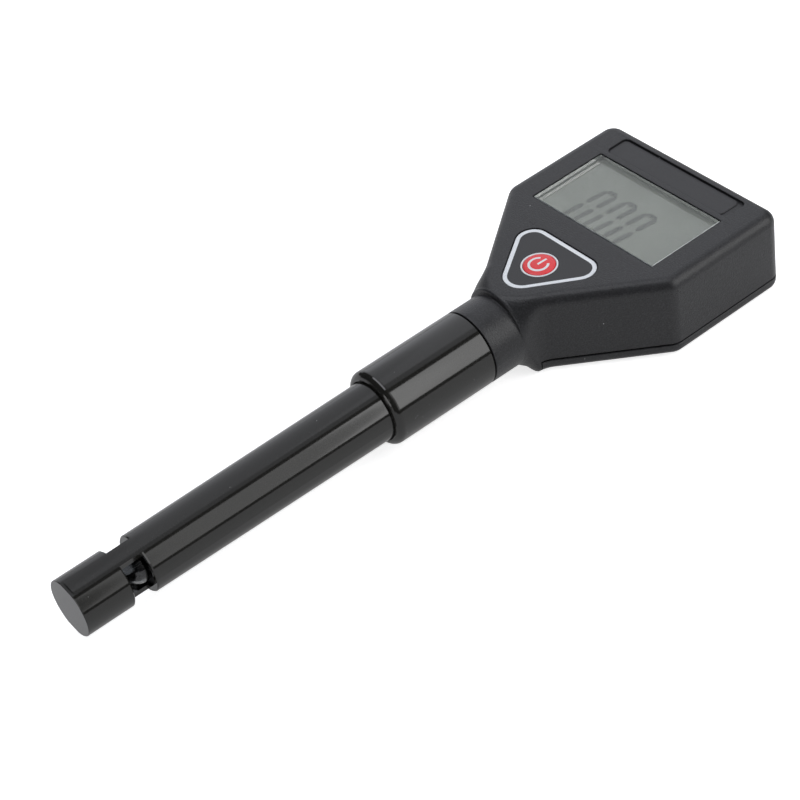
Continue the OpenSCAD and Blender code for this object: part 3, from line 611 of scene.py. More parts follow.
def rows_to_faces(rows, closed=False):
    return [face for low, high in zip(rows, rows[1:]) for face in strip(low, high, closed)]


def capped(rows):
    """A closed body: rows of points right round it, with the first and the last filled."""
    return rows_to_faces(rows, closed=True) + flat_fill(rows[0]) + flat_fill(rows[-1])


def at_z(points, z):
    return [(x, y, z) for x, y in points]


print("face helpers ready")

# %% Make a piece
WELD, SLIVER, NORMAL_WEIGHT = 0.003 * MM, 0.001 * MM, 80


def make_piece(name, polygons, finish, body, stands_for=(), sharp=35, materials=None, marks=None):
    """Welds polygons into one smooth piece, gives it its finish, and lets it ride on its body.
    marks gives, for each polygon, the number of its material where there is more than one."""
    mesh = bpy.data.meshes.new(name)
    work = bmesh.new()
    known = {}
    for number, polygon in enumerate(polygons):
        ring = []
        for point in polygon:
            key = tuple(round(c, 3) for c in point)
            if key not in known:
                known[key] = work.verts.new([c * MM for c in point])
            if known[key] not in ring:
                ring.append(known[key])
        if len(ring) > 2 and work.faces.get(ring) is None:
            face = work.faces.new(ring)
            face.smooth = True
            face.material_index = marks[number] if marks else 0
    bmesh.ops.remove_doubles(work, verts=work.verts, dist=WELD)
    bmesh.ops.dissolve_degenerate(work, edges=work.edges, dist=SLIVER)
    bmesh.ops.recalc_face_normals(work, faces=work.faces)
    open_edges = sum(1 for e in work.edges if len(e.link_faces) != 2)
    work.to_mesh(mesh)
    work.free()
    mesh.set_sharp_from_angle(angle=math.radians(sharp))
    piece = bpy.data.objects.new(name, mesh)
    bpy.context.scene.collection.objects.link(piece)
    for slot_name in materials or [finish]:
        mesh.materials.append(FINISHES[slot_name])
    weighted = piece.modifiers.new("weighted normals", "WEIGHTED_NORMAL")
    weighted.keep_sharp, weighted.weight = True, NORMAL_WEIGHT
    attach(piece, body)
    if stands_for:
        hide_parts(*stands_for)
    print(name, "faces", len(mesh.polygons), "open edges", open_edges)


print("pieces can be made")

# %% Helpers for rounded outlines


def rounded_shape(corners, grow, steps):
    """The outline round circles (x, y, r) that are given in turn, anticlockwise."""
    count = len(corners)
    normals = []
    for k in range(count):
        (x0, y0, r0), (x1, y1, r1) = corners[k], corners[(k + 1) % count]
        length = math.hypot(x1 - x0, y1 - y0)
        normals.append(math.atan2(y1 - y0, x1 - x0) - math.acos((r0 - r1) / length))
    points = []
    for k, (x, y, r) in enumerate(corners):
        first, last = normals[k - 1], normals[k]
        while last < first:
            last += 2 * math.pi
        points += arc((x, y), r + grow, math.degrees(first), math.degrees(last), steps)
    return points


def rounded_bar(x0, x1, y0, y1, r, grow=0.0, steps=6):
    return rounded_shape([(x1 - r, y0 + r, r), (x1 - r, y1 - r, r), (x0 + r, y1 - r, r),
                          (x0 + r, y0 + r, r)], grow, steps)


def ring_points(radius, y, steps=72):
    """A circle about the meter's long axis."""
    angles = [2 * math.pi * k / steps for k in range(steps)]
    return [(radius * math.sin(a), y, AXIS_Z + radius * math.cos(a)) for a in angles]


def disc_points(center, radius, z, steps=48):
    return at_z(arc(center, radius, 0, 360, steps)[:-1], z)


print("rounded outlines ready")

# %% [markdown]
# ## The front shell
# The front shell is one injection moulding: the house-shaped head and the round neck with its
# threaded spigot. It is built from cross sections, as a boat builder lofts a hull. The sections of
# the throat run round the whole shell, and behind the lip they stop at the joint line, where the
# rear cover takes over. The neck is round and the throat is square, so the lip between them is a
# ring-shaped wall that fades out at the sides.

# %% Sizes of the throat
SEAM_TOP, JOINT_BEVEL = SEAM_Z + SEAM_GAP, 0.3
Y_RIM, Y_FULL, Y_SQUARE = Y_LIP + RIM, Y_COVER - SEAM_GAP, Y_THROAT + 1.1
FLAT_STEPS, ROUND_STEPS, WALL_STEPS, FOOT_STEPS, UNDER_STEPS = 4, 16, 14, 12, 4
LIP_ROUND, SQUARING = 9.6, 1.6       # corner radius at the lip, and how soon the throat squares
DROP_BEFORE, DROP_LENGTH = 2.0, 1.8  # the underside drops to the back just before the cover
JOINT_COLUMN = FLAT_STEPS + ROUND_STEPS + WALL_STEPS
THROAT_FULL = [Y_RIM + (Y_FULL - Y_RIM) * k / 14 for k in range(15)]
THROAT_UPPER = [Y_FULL + 0.46 * k for k in range(10)] + [JOIN_Y - 2.4, JOIN_Y - 1.2]
print("sections right round", len(THROAT_FULL), "and above the joint", len(THROAT_UPPER))

# %% Cross sections of the throat


def smooth(u):
    u = min(max(u, 0.0), 1.0)
    return u * u * (3 - 2 * u)


def corner_round(y):
    """Corner radius of a section: nearly the neck's own at the lip, and the head's behind it."""
    u = min(max((y - Y_RIM) / (Y_SQUARE - Y_RIM), 0.0), 1.0)
    return FACE_ROUND + (LIP_ROUND - FACE_ROUND) * (1 - u) ** SQUARING


def foot_round(y):
    """Radius under the throat: the neck's own, which closes to the back's edge at the cover."""
    return BACK_ROUND + (NECK_R - BACK_ROUND) * (1 - smooth((y - Y_LIP) / (Y_FULL - Y_LIP)))


def foot_z(y):
    """Height of the underside: the neck's, which drops to the back just before the cover."""
    return (AXIS_Z - NECK_R) * (1 - smooth((y - Y_FULL + DROP_BEFORE) / DROP_LENGTH))


def upper_levels(y):
    """The right side of a section as (inset, height, normal), from the flat face down."""
    radius = corner_round(y)
    top, low = FACE_Z - radius, max(SEAM_TOP + JOINT_BEVEL, foot_z(y) + foot_round(y))
    levels = []
    for k in range(ROUND_STEPS + 1):
        t = math.pi / 2 * (1 - k / ROUND_STEPS)
        levels.append((radius * (1 - math.cos(t)), FACE_Z - radius * (1 - math.sin(t)),
                       (math.cos(t), math.sin(t))))
    return levels + [(0.0, top + (low - top) * k / WALL_STEPS, (1.0, 0.0))
                     for k in range(1, WALL_STEPS + 1)]


def foot_levels(y):
    """The levels below the joint line, down to the flat back."""
    radius, low = foot_round(y), foot_z(y)
    angles = [math.pi / 2 * k / FOOT_STEPS for k in range(FOOT_STEPS + 1)]
    return [(radius * (1 - math.cos(t)), low + radius * (1 - math.sin(t)),
             (math.cos(t), -math.sin(t))) for t in angles]


def whole_section(y):
    """Points (x, z, normal) right round a section at y, from the top, over the right side."""
    top_x, foot_x = side_x(y, corner_round(y)), side_x(y, foot_round(y))
    half = [(top_x * k / FLAT_STEPS, FACE_Z, (0.0, 1.0)) for k in range(FLAT_STEPS)]
    half += [(side_x(y, inset), z, normal) for inset, z, normal in upper_levels(y) + foot_levels(y)]
    half += [(foot_x * (1 - k / UNDER_STEPS), foot_z(y), (0.0, -1.0))
             for k in range(1, UNDER_STEPS + 1)]
    return half + [(-x, z, (-n[0], n[1])) for x, z, n in reversed(half[1:-1])]


print("columns in a whole section", len(whole_section(Y_RIM)))

# %% Helpers for neck, lip and throat


def section_row(y):
    return [(x, y, z) for x, z, _ in whole_section(y)]


def without_face(row):
    """A whole section without its flat top, which the face fills later."""
    return row[FLAT_STEPS:len(row) - FLAT_STEPS + 1]


def lip_row(inset, y):
    """The lip's section drawn inward, but never inside the round neck."""
    row = []
    for x, z, (nx, nz) in whole_section(Y_RIM):
        px, pz = x - inset * nx, z - inset * nz - AXIS_Z
        reach = math.hypot(px, pz)
        stretch = max(reach, NECK_R) / reach
        row.append((px * stretch, y, pz * stretch + AXIS_Z))
    return row


def around_axis(point, radius, y):
    x, _, z = point
    reach = math.hypot(x, z - AXIS_Z)
    return (x * radius / reach, y, AXIS_Z + (z - AXIS_Z) * radius / reach)


HOLLOW, HOLLOW_MORE = 0.25, 1.1      # crisp above, and how much softer it is underneath


def hollow_at(point):
    """Radius of the hollow rounding between neck and lip, which the lip's height limits."""
    x, _, z = point
    down = min(max((AXIS_Z - 4 - z) / 5, 0.0), 1.0)
    return max(min(HOLLOW + HOLLOW_MORE * down, 0.85 * (math.hypot(x, z - AXIS_Z) - NECK_R)), 0.0)


print("hollow beside the lip", HOLLOW, "to", HOLLOW + HOLLOW_MORE)

# %% Neck, lip and throat
shell_faces = rows_to_faces([without_face(section_row(y)) for y in reversed(THROAT_FULL)])
rim_rows = [lip_row(RIM * (1 - math.cos(a)), Y_LIP + RIM * (1 - math.sin(a)))
            for a in [math.pi / 2 * k / 5 for k in range(6)]]
wall_row = rim_rows[-1]
neck_rows = [[around_axis(p, NECK_R + hollow_at(p) * (1 - math.sin(a)),
                          Y_LIP - hollow_at(p) * (1 - math.cos(a))) for p in wall_row]
             for a in [math.pi / 2 * k / 4 for k in range(5)]]
EDGE = 0.2                           # bevel at the neck's near end
for radius, y in ((NECK_R, Y_LIP - 2.2), (NECK_R, Y_LIP - 4.6), (NECK_R, Y_NECK + 2.0),
                  (NECK_R, Y_NECK + EDGE), (NECK_R - EDGE * 0.3, Y_NECK + EDGE * 0.3),
                  (NECK_R - EDGE, Y_NECK)):
    neck_rows.append([around_axis(p, radius, y) for p in wall_row])
shell_faces += rows_to_faces(rim_rows + neck_rows, closed=True)
shoulder = neck_rows[-1]
print("neck and lip faces", len(shell_faces))

# %% Sides and rounded edge of the head


def level_row(k):
    """One level of the head's edge, from the throat's right side round to its left side."""
    near = [(y, *upper_levels(y)[k][:2]) for y in THROAT_UPPER]
    inset, z, _ = upper_levels(JOIN_Y)[k]
    return both_halves([(side_x(y, drawn), y, height) for y, drawn, height in near]
                       + at_z(head_half(inset), z))


side_rows = [level_row(k) for k in range(ROUND_STEPS + WALL_STEPS + 1)]
drawn_in = both_halves([(side_x(y, JOINT_BEVEL), y) for y in THROAT_UPPER] + head_half(JOINT_BEVEL))
joint_row = at_z(drawn_in, SEAM_TOP)
shell_faces += rows_to_faces(side_rows + [joint_row])
last_full = section_row(Y_FULL)
patch = last_full[JOINT_COLUMN:len(last_full) - JOINT_COLUMN + 1]
shell_faces += flat_fill(patch + [joint_row[-1], joint_row[0]])
print("with the head's sides", len(shell_faces))

# %% [markdown]
# ### Openings in the face
# The face carries the display window, the recess of the key plate with the key's hole, and a long
# slot above the display. Each opening gets a small bevel, because a sharp edge never catches light.

# %% Outlines of the openings
BEVEL = 0.14
WINDOW, WINDOW_ROUND, SLOT_ROUND = (-21.7, 21.7, 62.2, 86.1), 0.35, 1.5
SLOT_MID, SLOT_HALF_H = Y_END - 6.8, 3.6
SLOT = (-21.5, 21.5, SLOT_MID - SLOT_HALF_H, SLOT_MID + SLOT_HALF_H)
PLATE_CENTRES = [(0.0, -5.2), (8.46, 5.45), (-8.46, 5.45)]       # its corners, about the key
PLATE_POINT, PLATE_TOP, PLATE_GAP = 5.25, 4.5, 0.1               # their radii, and the play
PLATE_FLOOR, SLOT_FLOOR, ROOF_Z = 22.0, 22.4, FACE_Z - WALL
KEY_HOLE = 4.3


def plate_outline(grow, top=PLATE_TOP, point=PLATE_POINT):
    """The key plate's rounded triangle about the key, grown or drawn in."""
    corners = zip(PLATE_CENTRES, (point, top, top))
    return rounded_shape([(x, y + Y_KEY, r) for (x, y), r in corners], grow, 10)


def window_outline(grow):
    return rounded_bar(*WINDOW, WINDOW_ROUND, grow, 4)


def slot_outline(grow):
    return rounded_bar(*SLOT, SLOT_ROUND, grow)


print("window", WINDOW, "slot", [round(c, 2) for c in SLOT])

# %% Face with its openings
flat_edge = [section_row(y)[FLAT_STEPS] for y in THROAT_FULL[:-1]]
rim_top = section_row(Y_RIM)[:FLAT_STEPS]
other_side = [(-x, y, z) for x, y, z in reversed(rim_top + flat_edge)][:-1]
boundary = flat_edge + side_rows[0] + other_side + rim_top
openings = [window_outline(BEVEL), slot_outline(BEVEL), plate_outline(PLATE_GAP + BEVEL)]
shell_faces += flat_fill(boundary, [at_z(o, FACE_Z) for o in openings])


def well(outline_of, grow, floor_z, holes=()):
    """A bevelled well from the face to a floor; holes are cut in the floor."""
    steps = ((BEVEL, 0.0), (BEVEL * 0.3, BEVEL * 0.3), (0.0, BEVEL), (0.0, FACE_Z - floor_z))
    rows = [at_z(outline_of(grow + out), FACE_Z - deep) for out, deep in steps]
    faces = rows_to_faces(rows, closed=True)
    if holes is not None:
        faces += flat_fill(rows[-1], holes)
    return faces


key_hole_low, key_hole_high = (disc_points((0, Y_KEY), KEY_HOLE, z)
                               for z in (ROOF_Z, PLATE_FLOOR))
shell_faces += well(window_outline, 0.0, ROOF_Z, None)
shell_faces += well(slot_outline, 0.0, SLOT_FLOOR)
shell_faces += well(plate_outline, PLATE_GAP, PLATE_FLOOR, [key_hole_high])
shell_faces += strip(key_hole_low, key_hole_high, closed=True)
print("with the face", len(shell_faces))

# %% [markdown]
# ### The inside
# A moulding is a thin wall, so the shell is hollow: a cavity from the joint line up to the roof
# under the face, a hole for the leads, and a bore in the spigot. A solid block would look the same
# from outside, but it would bury the board and the cells, and the lens would have nothing below it.

# %% Inside of the head
Y_INSIDE, LEAD_HOLE, LEAD_STEPS = Y_THROAT + 0.6, 4.5, 36
BORE_LENGTH, BORE_R, BORE_EDGE, SPIGOT_R = 10.0, 7.0, 0.3, 8.8
cavity_near = THROAT_HALF - WALL / math.sin(FLARE) + (Y_INSIDE - Y_THROAT) / math.tan(FLARE)
cavity = both_halves([(cavity_near, Y_INSIDE)] + head_half(WALL))
inside_low, inside_high = at_z(cavity, SEAM_TOP), at_z(cavity, ROOF_Z)
shell_faces += flat_fill(joint_row, [inside_low])
shell_faces += strip(inside_low, inside_high)
shell_faces += flat_fill(inside_high, [at_z(window_outline(0.0), ROOF_Z), key_hole_low])
lead_ring = ring_points(LEAD_HOLE, Y_INSIDE, LEAD_STEPS)
near_wall = [inside_low[0], inside_high[0], inside_high[-1], inside_low[-1]]
shell_faces += flat_fill(near_wall, [lead_ring])
lead_near = ring_points(LEAD_HOLE, Y_NECK + BORE_LENGTH, LEAD_STEPS)
bore_far = ring_points(BORE_R, Y_NECK + BORE_LENGTH)
bore_near = ring_points(BORE_R, Y_SPIGOT + BORE_EDGE)
bore_lip = ring_points(BORE_R + BORE_EDGE, Y_SPIGOT)
shell_faces += strip(lead_ring, lead_near, closed=True) + flat_fill(bore_far, [lead_near])
shell_faces += rows_to_faces([bore_far, bore_near, bore_lip], closed=True)
print("with the inside", len(shell_faces))

# %% [markdown]
# ### The thread
# The collar screws onto the spigot. A thread is a ridge that climbs one pitch for each turn, so
# the radius of every point follows from its place along the axis and its angle. The collar hides
# the thread while it is screwed home, and shows it on the way out.

# %% Threaded spigot
PITCH, THREAD_DEPTH, THREAD_STEPS, AROUND = 2.0, 0.55, 44, 72
SPIGOT_BEVEL = 0.45


def thread_radius(y, turn):
    """Radius at y and a turn between 0 and 1; the thread runs out at both ends."""
    phase = ((y - Y_SPIGOT) / PITCH - turn) % 1.0
    rise = min(max((abs(phase - 0.5) - 0.12) / 0.22, 0.0), 1.0)
    ends = min(max((y - Y_SPIGOT - 1.2) / 1.2, 0.0), max((Y_NECK - 1.6 - y) / 1.2, 0.0), 1.0)
    return SPIGOT_R - THREAD_DEPTH * (1 - rise) * ends


spigot_rows = [ring_points(SPIGOT_R - SPIGOT_BEVEL, Y_SPIGOT),
               ring_points(SPIGOT_R, Y_SPIGOT + SPIGOT_BEVEL)]
for k in range(1, THREAD_STEPS + 1):
    y = Y_SPIGOT + SPIGOT_BEVEL + (Y_NECK - Y_SPIGOT - SPIGOT_BEVEL) * k / THREAD_STEPS
    spigot_rows.append([around_axis(p, thread_radius(y, n / AROUND), y)
                        for n, p in enumerate(ring_points(1.0, y, AROUND))])
shell_faces += rows_to_faces(spigot_rows, closed=True)
shell_faces += flat_fill(spigot_rows[0], [bore_lip])
shell_faces += flat_fill(shoulder, [spigot_rows[-1]])
make_piece("front_housing", shell_faces, "shell_black", "head", ["front_shell"])

# %% [markdown]
# ## The rear cover and the battery door
# The rear cover is a shallow tray that closes the head from behind. It follows the same outline as
# the front shell, so both meet in an even joint line. A slot in it takes the sliding battery door,
# and six small holes in its back reach four cover screws and two trimmers.

# %% Sizes of the cover and its slot
DOOR_HALF, DOOR_NEAR, DOOR_TOP = 12.2, box_mm("battery_door")[0][1], 1.9
GAP, TONGUE = 0.2, 0.9
SLOT_HALF, GROOVE_HALF = DOOR_HALF + GAP, DOOR_HALF + TONGUE + GAP
GROOVE_LOW, GROOVE_HIGH = 0.55, 1.65
SLOT_NEAR, SLOT_TOP = DOOR_NEAR - GAP, WALL + 0.01
COVER_TOP, COVER_BEVEL = SEAM_Z, 0.12
HAIR = 1e-6                          # for comparing two lengths


def back_inset(z):
    """How far the rounded back edge stands in at a height."""
    if z >= BACK_ROUND:
        return 0.0
    return BACK_ROUND - math.sqrt(BACK_ROUND ** 2 - (BACK_ROUND - z) ** 2)


COVER_LEVELS = sorted([BACK_ROUND * (1 - math.sin(math.pi / 2 * k / 8)) for k in range(9)]
                      + [GROOVE_LOW, GROOVE_HIGH, SLOT_TOP, COVER_TOP - COVER_BEVEL, COVER_TOP])
print("levels of the cover's edge", len(COVER_LEVELS))

# %% Edge of the rear cover


def cover_half(inset):
    """Right half of the cover's outline, with stations at the sides of the door slot."""
    near = [(side_x(y, inset), y) for y in [Y_COVER + 0.46 * k for k in range(10)] + [JOIN_Y - 2.4]]
    far_y = Y_END - inset
    kept = [point for point in near + head_half(inset)
            if point[1] < far_y - HAIR or point[0] > GROOVE_HALF + 0.5]
    return kept + [(x, far_y) for x in (GROOVE_HALF, SLOT_HALF, 8.0, 4.0, 0.0)]


def cover_inset(z):
    """The cover's edge: rounded at the back, with a small bevel at the joint."""
    return back_inset(z) + max(z - (COVER_TOP - COVER_BEVEL), 0.0)


cover_rows = [at_z(both_halves(cover_half(cover_inset(z))), z) for z in COVER_LEVELS]
cover_faces = []
for low, high in zip(cover_rows, cover_rows[1:]):
    middle_z = (low[0][2] + high[0][2]) / 2
    for face in strip(low, high):
        x = sum(p[0] for p in face) / 4
        at_far = min(p[1] for p in face) > Y_END - 3
        in_slot = at_far and abs(x) < SLOT_HALF and middle_z < SLOT_TOP
        in_groove = at_far and abs(x) < GROOVE_HALF and GROOVE_LOW < middle_z < GROOVE_HIGH
        if not (in_slot or in_groove):
            cover_faces.append(face)
print("cover wall faces", len(cover_faces))

# %% Cover back and its holes
SCREWS, SCREW_HOLE = [(24.7, 92.9), (8.99, 42.8)], 2.5
TRIMMERS, TRIMMER_HOLE = [(20.0, 68.5)], 1.9


def back_holes(z):
    """The holes at a height: four for the cover screws and two for the trimmers."""
    return [disc_points((side * x, y), radius, z, 32)
            for spots, radius in ((SCREWS, SCREW_HOLE), (TRIMMERS, TRIMMER_HOLE))
            for x, y in spots for side in (1, -1)]


foot_row = cover_rows[0]
slot_at = [k for k, p in enumerate(foot_row) if abs(p[0] - SLOT_HALF) < HAIR][-1]
slot_end = [k for k, p in enumerate(foot_row) if abs(p[0] + SLOT_HALF) < HAIR][0]
notch = [(SLOT_HALF, SLOT_NEAR), (-SLOT_HALF, SLOT_NEAR)]
back_edge = foot_row[:slot_at + 1] + at_z(notch, 0.0) + foot_row[slot_end:]
cover_faces += flat_fill(back_edge, back_holes(0.0))
print("with the back", len(cover_faces))

# %% Slot for the door, with a groove in each side for its tongue
far = [(Y_END - back_inset(z), z) for z in COVER_LEVELS]
for side in (1, -1):
    slot_x, groove_x = side * SLOT_HALF, side * GROOVE_HALF
    for x, low, high in ((slot_x, 0.0, GROOVE_LOW), (groove_x, GROOVE_LOW, GROOVE_HIGH),
                         (slot_x, GROOVE_HIGH, SLOT_TOP)):
        group = [(x, y, z) for y, z in far if low - HAIR <= z <= high + HAIR]
        if high == SLOT_TOP:
            group.append((x, Y_END - WALL, SLOT_TOP))
        cover_faces.append([(x, SLOT_NEAR, group[0][2])] + group + [(x, SLOT_NEAR, group[-1][2])])
    for z in (GROOVE_LOW, GROOVE_HIGH):
        y = Y_END - back_inset(z)
        cover_faces.append([(slot_x, SLOT_NEAR, z), (groove_x, SLOT_NEAR, z),
                            (groove_x, y, z), (slot_x, y, z)])
    cover_faces.append([(x, SLOT_NEAR, z) for x, z in
                        ((slot_x, GROOVE_LOW), (groove_x, GROOVE_LOW),
                         (groove_x, GROOVE_HIGH), (slot_x, GROOVE_HIGH))])
heights = (0, GROOVE_LOW, GROOVE_HIGH, SLOT_TOP)
cover_faces.append([(SLOT_HALF, SLOT_NEAR, z) for z in heights]
                   + [(-SLOT_HALF, SLOT_NEAR, z) for z in reversed(heights)])
print("with the back and the slot", len(cover_faces))

# %% Cover inside
FAR_END = 90                         # beyond this only the far wall is left


def inner_cover(z):
    """The outline of the tray's inside, with stations at the sides of the door slot."""
    near, far_y = (side_x(Y_COVER + WALL, WALL), Y_COVER + WALL), Y_END - WALL
    kept = [point for point in [near] + head_half(WALL)
            if point[1] < far_y - HAIR or point[0] > SLOT_HALF + 0.5]
    return at_z(both_halves(kept + [(SLOT_HALF, far_y), (0.0, far_y)]), z)


def over_slot(point, margin):
    """Whether a point of the far end is over the door slot."""
    return abs(point[0]) < SLOT_HALF + margin and point[1] > FAR_END


inner_low, inner_top = inner_cover(SLOT_TOP), inner_cover(COVER_TOP)
cover_faces += strip(inner_low, inner_top)
cover_faces.append((inner_low[0], inner_top[0], inner_top[-1], inner_low[-1]))
cover_faces += flat_fill(cover_rows[-1], [inner_top])
slot_row = cover_rows[COVER_LEVELS.index(SLOT_TOP)]
far_slot_y = Y_END - back_inset(SLOT_TOP)
cover_faces += flat_fill([(SLOT_HALF, far_slot_y, SLOT_TOP)]
                         + [p for p in slot_row if over_slot(p, -HAIR)]
                         + [(-SLOT_HALF, far_slot_y, SLOT_TOP)]
                         + [p for p in reversed(inner_low) if over_slot(p, HAIR)])
floor_edge = [p for p in inner_low if not over_slot(p, -HAIR)]
floor_edge = ([p for p in floor_edge if p[0] > 0] + at_z(notch, SLOT_TOP)
              + [p for p in floor_edge if p[0] < 0])
cover_faces += flat_fill(floor_edge, back_holes(SLOT_TOP))
for low, high in zip(back_holes(0.0), back_holes(SLOT_TOP)):
    cover_faces += strip(low, high, closed=True)
cover_faces += flat_fill([row[0] for row in cover_rows] + [row[-1] for row in reversed(cover_rows)])
make_piece("rear_housing", cover_faces, "shell_black", "head", ["rear_cover"], sharp=40)

# %% [markdown]
# ### Battery door
# The door slides out over the far end. Two thin tongues hold it in the slot, and a sunk grip with
# ridges gives the thumb a hold. The ridges stay below the back's surface, because the meter lies
# on it.

# %% Battery door
GRIP, GRIP_ROUND, GRIP_DEPTH, RIDGES = (-6.0, 6.0, 84.0, 91.5), 1.5, 0.5, 5
CHAMFER = 0.15


def door_row(z, inset=0.0):
    """The door's outline at a height; its far end follows the cover's rounded edge."""
    half, near, far_y = DOOR_HALF - inset, DOOR_NEAR + inset, Y_END - back_inset(z)
    return [(-half, near, z), (half, near, z), (half, far_y, z), (-half, far_y, z)]


grip_rows = [at_z(rounded_bar(*GRIP, GRIP_ROUND, grow), z)
             for grow, z in ((0, 0), (-0.05, 0.08), (-0.3, GRIP_DEPTH))]
door_rows = [door_row(0, CHAMFER), door_row(CHAMFER)]
door_rows += [door_row(z) for z in COVER_LEVELS if CHAMFER < z < DOOR_TOP - 0.05]
door_rows.append(door_row(DOOR_TOP))
door_faces = rows_to_faces(door_rows, closed=True) + [door_rows[-1]]
door_faces += flat_fill(door_rows[0], [grip_rows[0]])
door_faces += rows_to_faces(grip_rows, closed=True) + flat_fill(grip_rows[-1])
print("door faces", len(door_faces))

# %% Door tongues and grip ridges


def block(x0, x1, y0, y1, z0, z1, soft=0.1):
    """A small block with bevelled upper and lower edges."""
    return capped([at_z(rounded_bar(x0, x1, y0, y1, soft * 1.5, grow, 3), z) for grow, z in
                   ((-soft, z0), (0.0, z0 + soft), (0.0, z1 - soft), (-soft, z1))])


for side in (1, -1):
    inner, outer = sorted((side * (DOOR_HALF - 0.5), side * (DOOR_HALF + TONGUE)))
    door_faces += block(inner, outer, DOOR_NEAR + 0.05, Y_END - FAR_ROUND, 0.75, 1.45)
grip_x0, grip_x1, grip_y0, grip_y1 = GRIP
for k in range(RIDGES):
    y = grip_y0 + (grip_y1 - grip_y0) * (k + 1) / (RIDGES + 1)
    door_faces += block(grip_x0 + 1.0, grip_x1 - 1.0, y - 0.35, y + 0.35, 0.12, GRIP_DEPTH + 0.3)
make_piece("battery_hatch", door_faces, "shell_black", "battery_door", ["battery_door"], sharp=30)

# %% [markdown]
# ## The key plate, the ring and the key
# A printed plate sits in the recess round the key: charcoal with a white line that follows its
# rounded triangle. The key is a red button with a low dome and a printed power sign, in a white
# ring. The sign is a thin layer that follows the dome.

# %% Key plate with its white line
LINE_TOP, LINE_POINT, LINE_HALF = 3.8, 4.6, 0.53
KEY_R, RING_WALL, RING_GAP = 4.1, 0.5, 0.15
plate_z0, plate_z1 = (corner[2] for corner in box_mm("key_plate"))
PLATE_EDGE = ((-0.12, plate_z1), (-0.035, plate_z1 - 0.035), (0.0, plate_z1 - 0.12),
              (0.0, plate_z0))
edge_rows = [at_z(plate_outline(grow), z) for grow, z in PLATE_EDGE]
line_outer, line_inner = (at_z(plate_outline(grow, LINE_TOP, LINE_POINT), plate_z1)
                          for grow in (LINE_HALF, -LINE_HALF))
hole_top, hole_low = (disc_points((0, Y_KEY), KEY_R + RING_WALL + RING_GAP, z, 64)
                      for z in (plate_z1, plate_z0))
charcoal = rows_to_faces(edge_rows, closed=True) + flat_fill(edge_rows[0], [line_outer])
charcoal += flat_fill(line_inner, [hole_top]) + strip(hole_top, hole_low, closed=True)
charcoal += flat_fill(edge_rows[-1], [hole_low])
white = flat_fill(line_outer, [line_inner])
make_piece("printed_key_plate", charcoal + white, "plate_charcoal", "head", ["key_plate"],
           materials=["plate_charcoal", "ring_white"], marks=[0] * len(charcoal) + [1] * len(white))

# %% White ring


def lathe(profile, closed=True):
    """Turns a profile of (radius, z) about the key's upright axis."""
    rows = [disc_points((0, Y_KEY), max(r, 0.001), z, 64) for r, z in profile]
    return rows_to_faces(rows + (rows[:1] if closed else []), closed=True)


ring_z1 = plate_z1 + 0.05
ring_profile = [(4.22, plate_z0), (4.22, ring_z1 - 0.1), (4.26, ring_z1 - 0.03), (4.34, ring_z1),
                (4.58, ring_z1), (4.66, ring_z1 - 0.03), (4.70, ring_z1 - 0.1), (4.70, plate_z0)]
make_piece("white_key_ring", lathe(ring_profile), "ring_white", "head", ["key_ring"])

# %% Red key
KEY_TOP, KEY_FOOT = key_high[2] - 0.15, key_low[2]
KEY_EDGE, KEY_ROUND, KEY_FLANGE = KEY_TOP - 0.26, 0.2, 1.0


def dome_z(r):
    """Height of the key's low dome at a distance from its middle."""
    return KEY_TOP - (KEY_TOP - KEY_EDGE) * (r / (KEY_R - KEY_ROUND)) ** 2


key_profile = [(0.0, KEY_FOOT), (KEY_R + KEY_FLANGE, KEY_FOOT),
               (KEY_R + KEY_FLANGE, KEY_FOOT + KEY_FLANGE), (KEY_R, KEY_FOOT + KEY_FLANGE),
               (KEY_R, KEY_EDGE - 0.22), (KEY_R - 0.04, KEY_EDGE - 0.09),
               (KEY_R - KEY_ROUND, KEY_EDGE)]
key_profile += [(k / 2, dome_z(k / 2)) for k in range(7, -1, -1)]
make_piece("red_key", lathe(key_profile, closed=False), "key_red", "key", ["power_key"])

# %% Printed power sign
SIGN_AT, SIGN_R, STROKE, PRINT, SUNK = (-0.05, -0.2), 2.4, 0.64, 0.02, -0.03
ARC_START, ARC_END = 126, 408        # degrees: the sign is open at its upper left
BAR_HALF, BAR_START, BAR_LENGTH = 0.29, -0.25, 2.95


def printed(left, right):
    """A thin printed stroke between two matching edges, laid on the dome."""
    def lift(points, rise):
        return [(x, y + Y_KEY, dome_z(math.hypot(x, y)) + rise) for x, y in points]
    around = left + right[::-1]
    return (strip(lift(left, PRINT), lift(right, PRINT))
            + strip(lift(around, PRINT), lift(around, SUNK), closed=True)
            + strip(lift(left, SUNK), lift(right, SUNK)))


sign = printed(*(arc(SIGN_AT, SIGN_R + side * STROKE / 2, ARC_START, ARC_END, 40)
                 for side in (-1, 1)))
bar_y = [SIGN_AT[1] + BAR_START + BAR_LENGTH * k / 10 for k in range(11)]
sign += printed(*([(SIGN_AT[0] + side * BAR_HALF, y) for y in bar_y] for side in (-1, 1)))
make_piece("power_sign", sign, "ring_white", "key", sharp=60)

# %% [markdown]
# ### The blank plate above the display
# A thin plate lies in the long slot. On a real meter it would carry a name. Here it stays bare.
# It is thinner than the slot is deep, and its edge is rounded, so that it only shows as a faint
# line, with a dark gap at its right end.

# %% Blank plate
BLANK = (-21.35, 19.4, 87.95, 94.65)
BLANK_EDGE = ((0.0, -0.02), (0.0, 0.12), (-0.05, 0.21), (-0.16, 0.27), (-0.32, 0.29))
blank_rows = [at_z(rounded_bar(*BLANK, 1.2, grow), SLOT_FLOOR + z) for grow, z in BLANK_EDGE]
make_piece("blank_plate", capped(blank_rows), "plate_charcoal", "head", ["name_plate"])
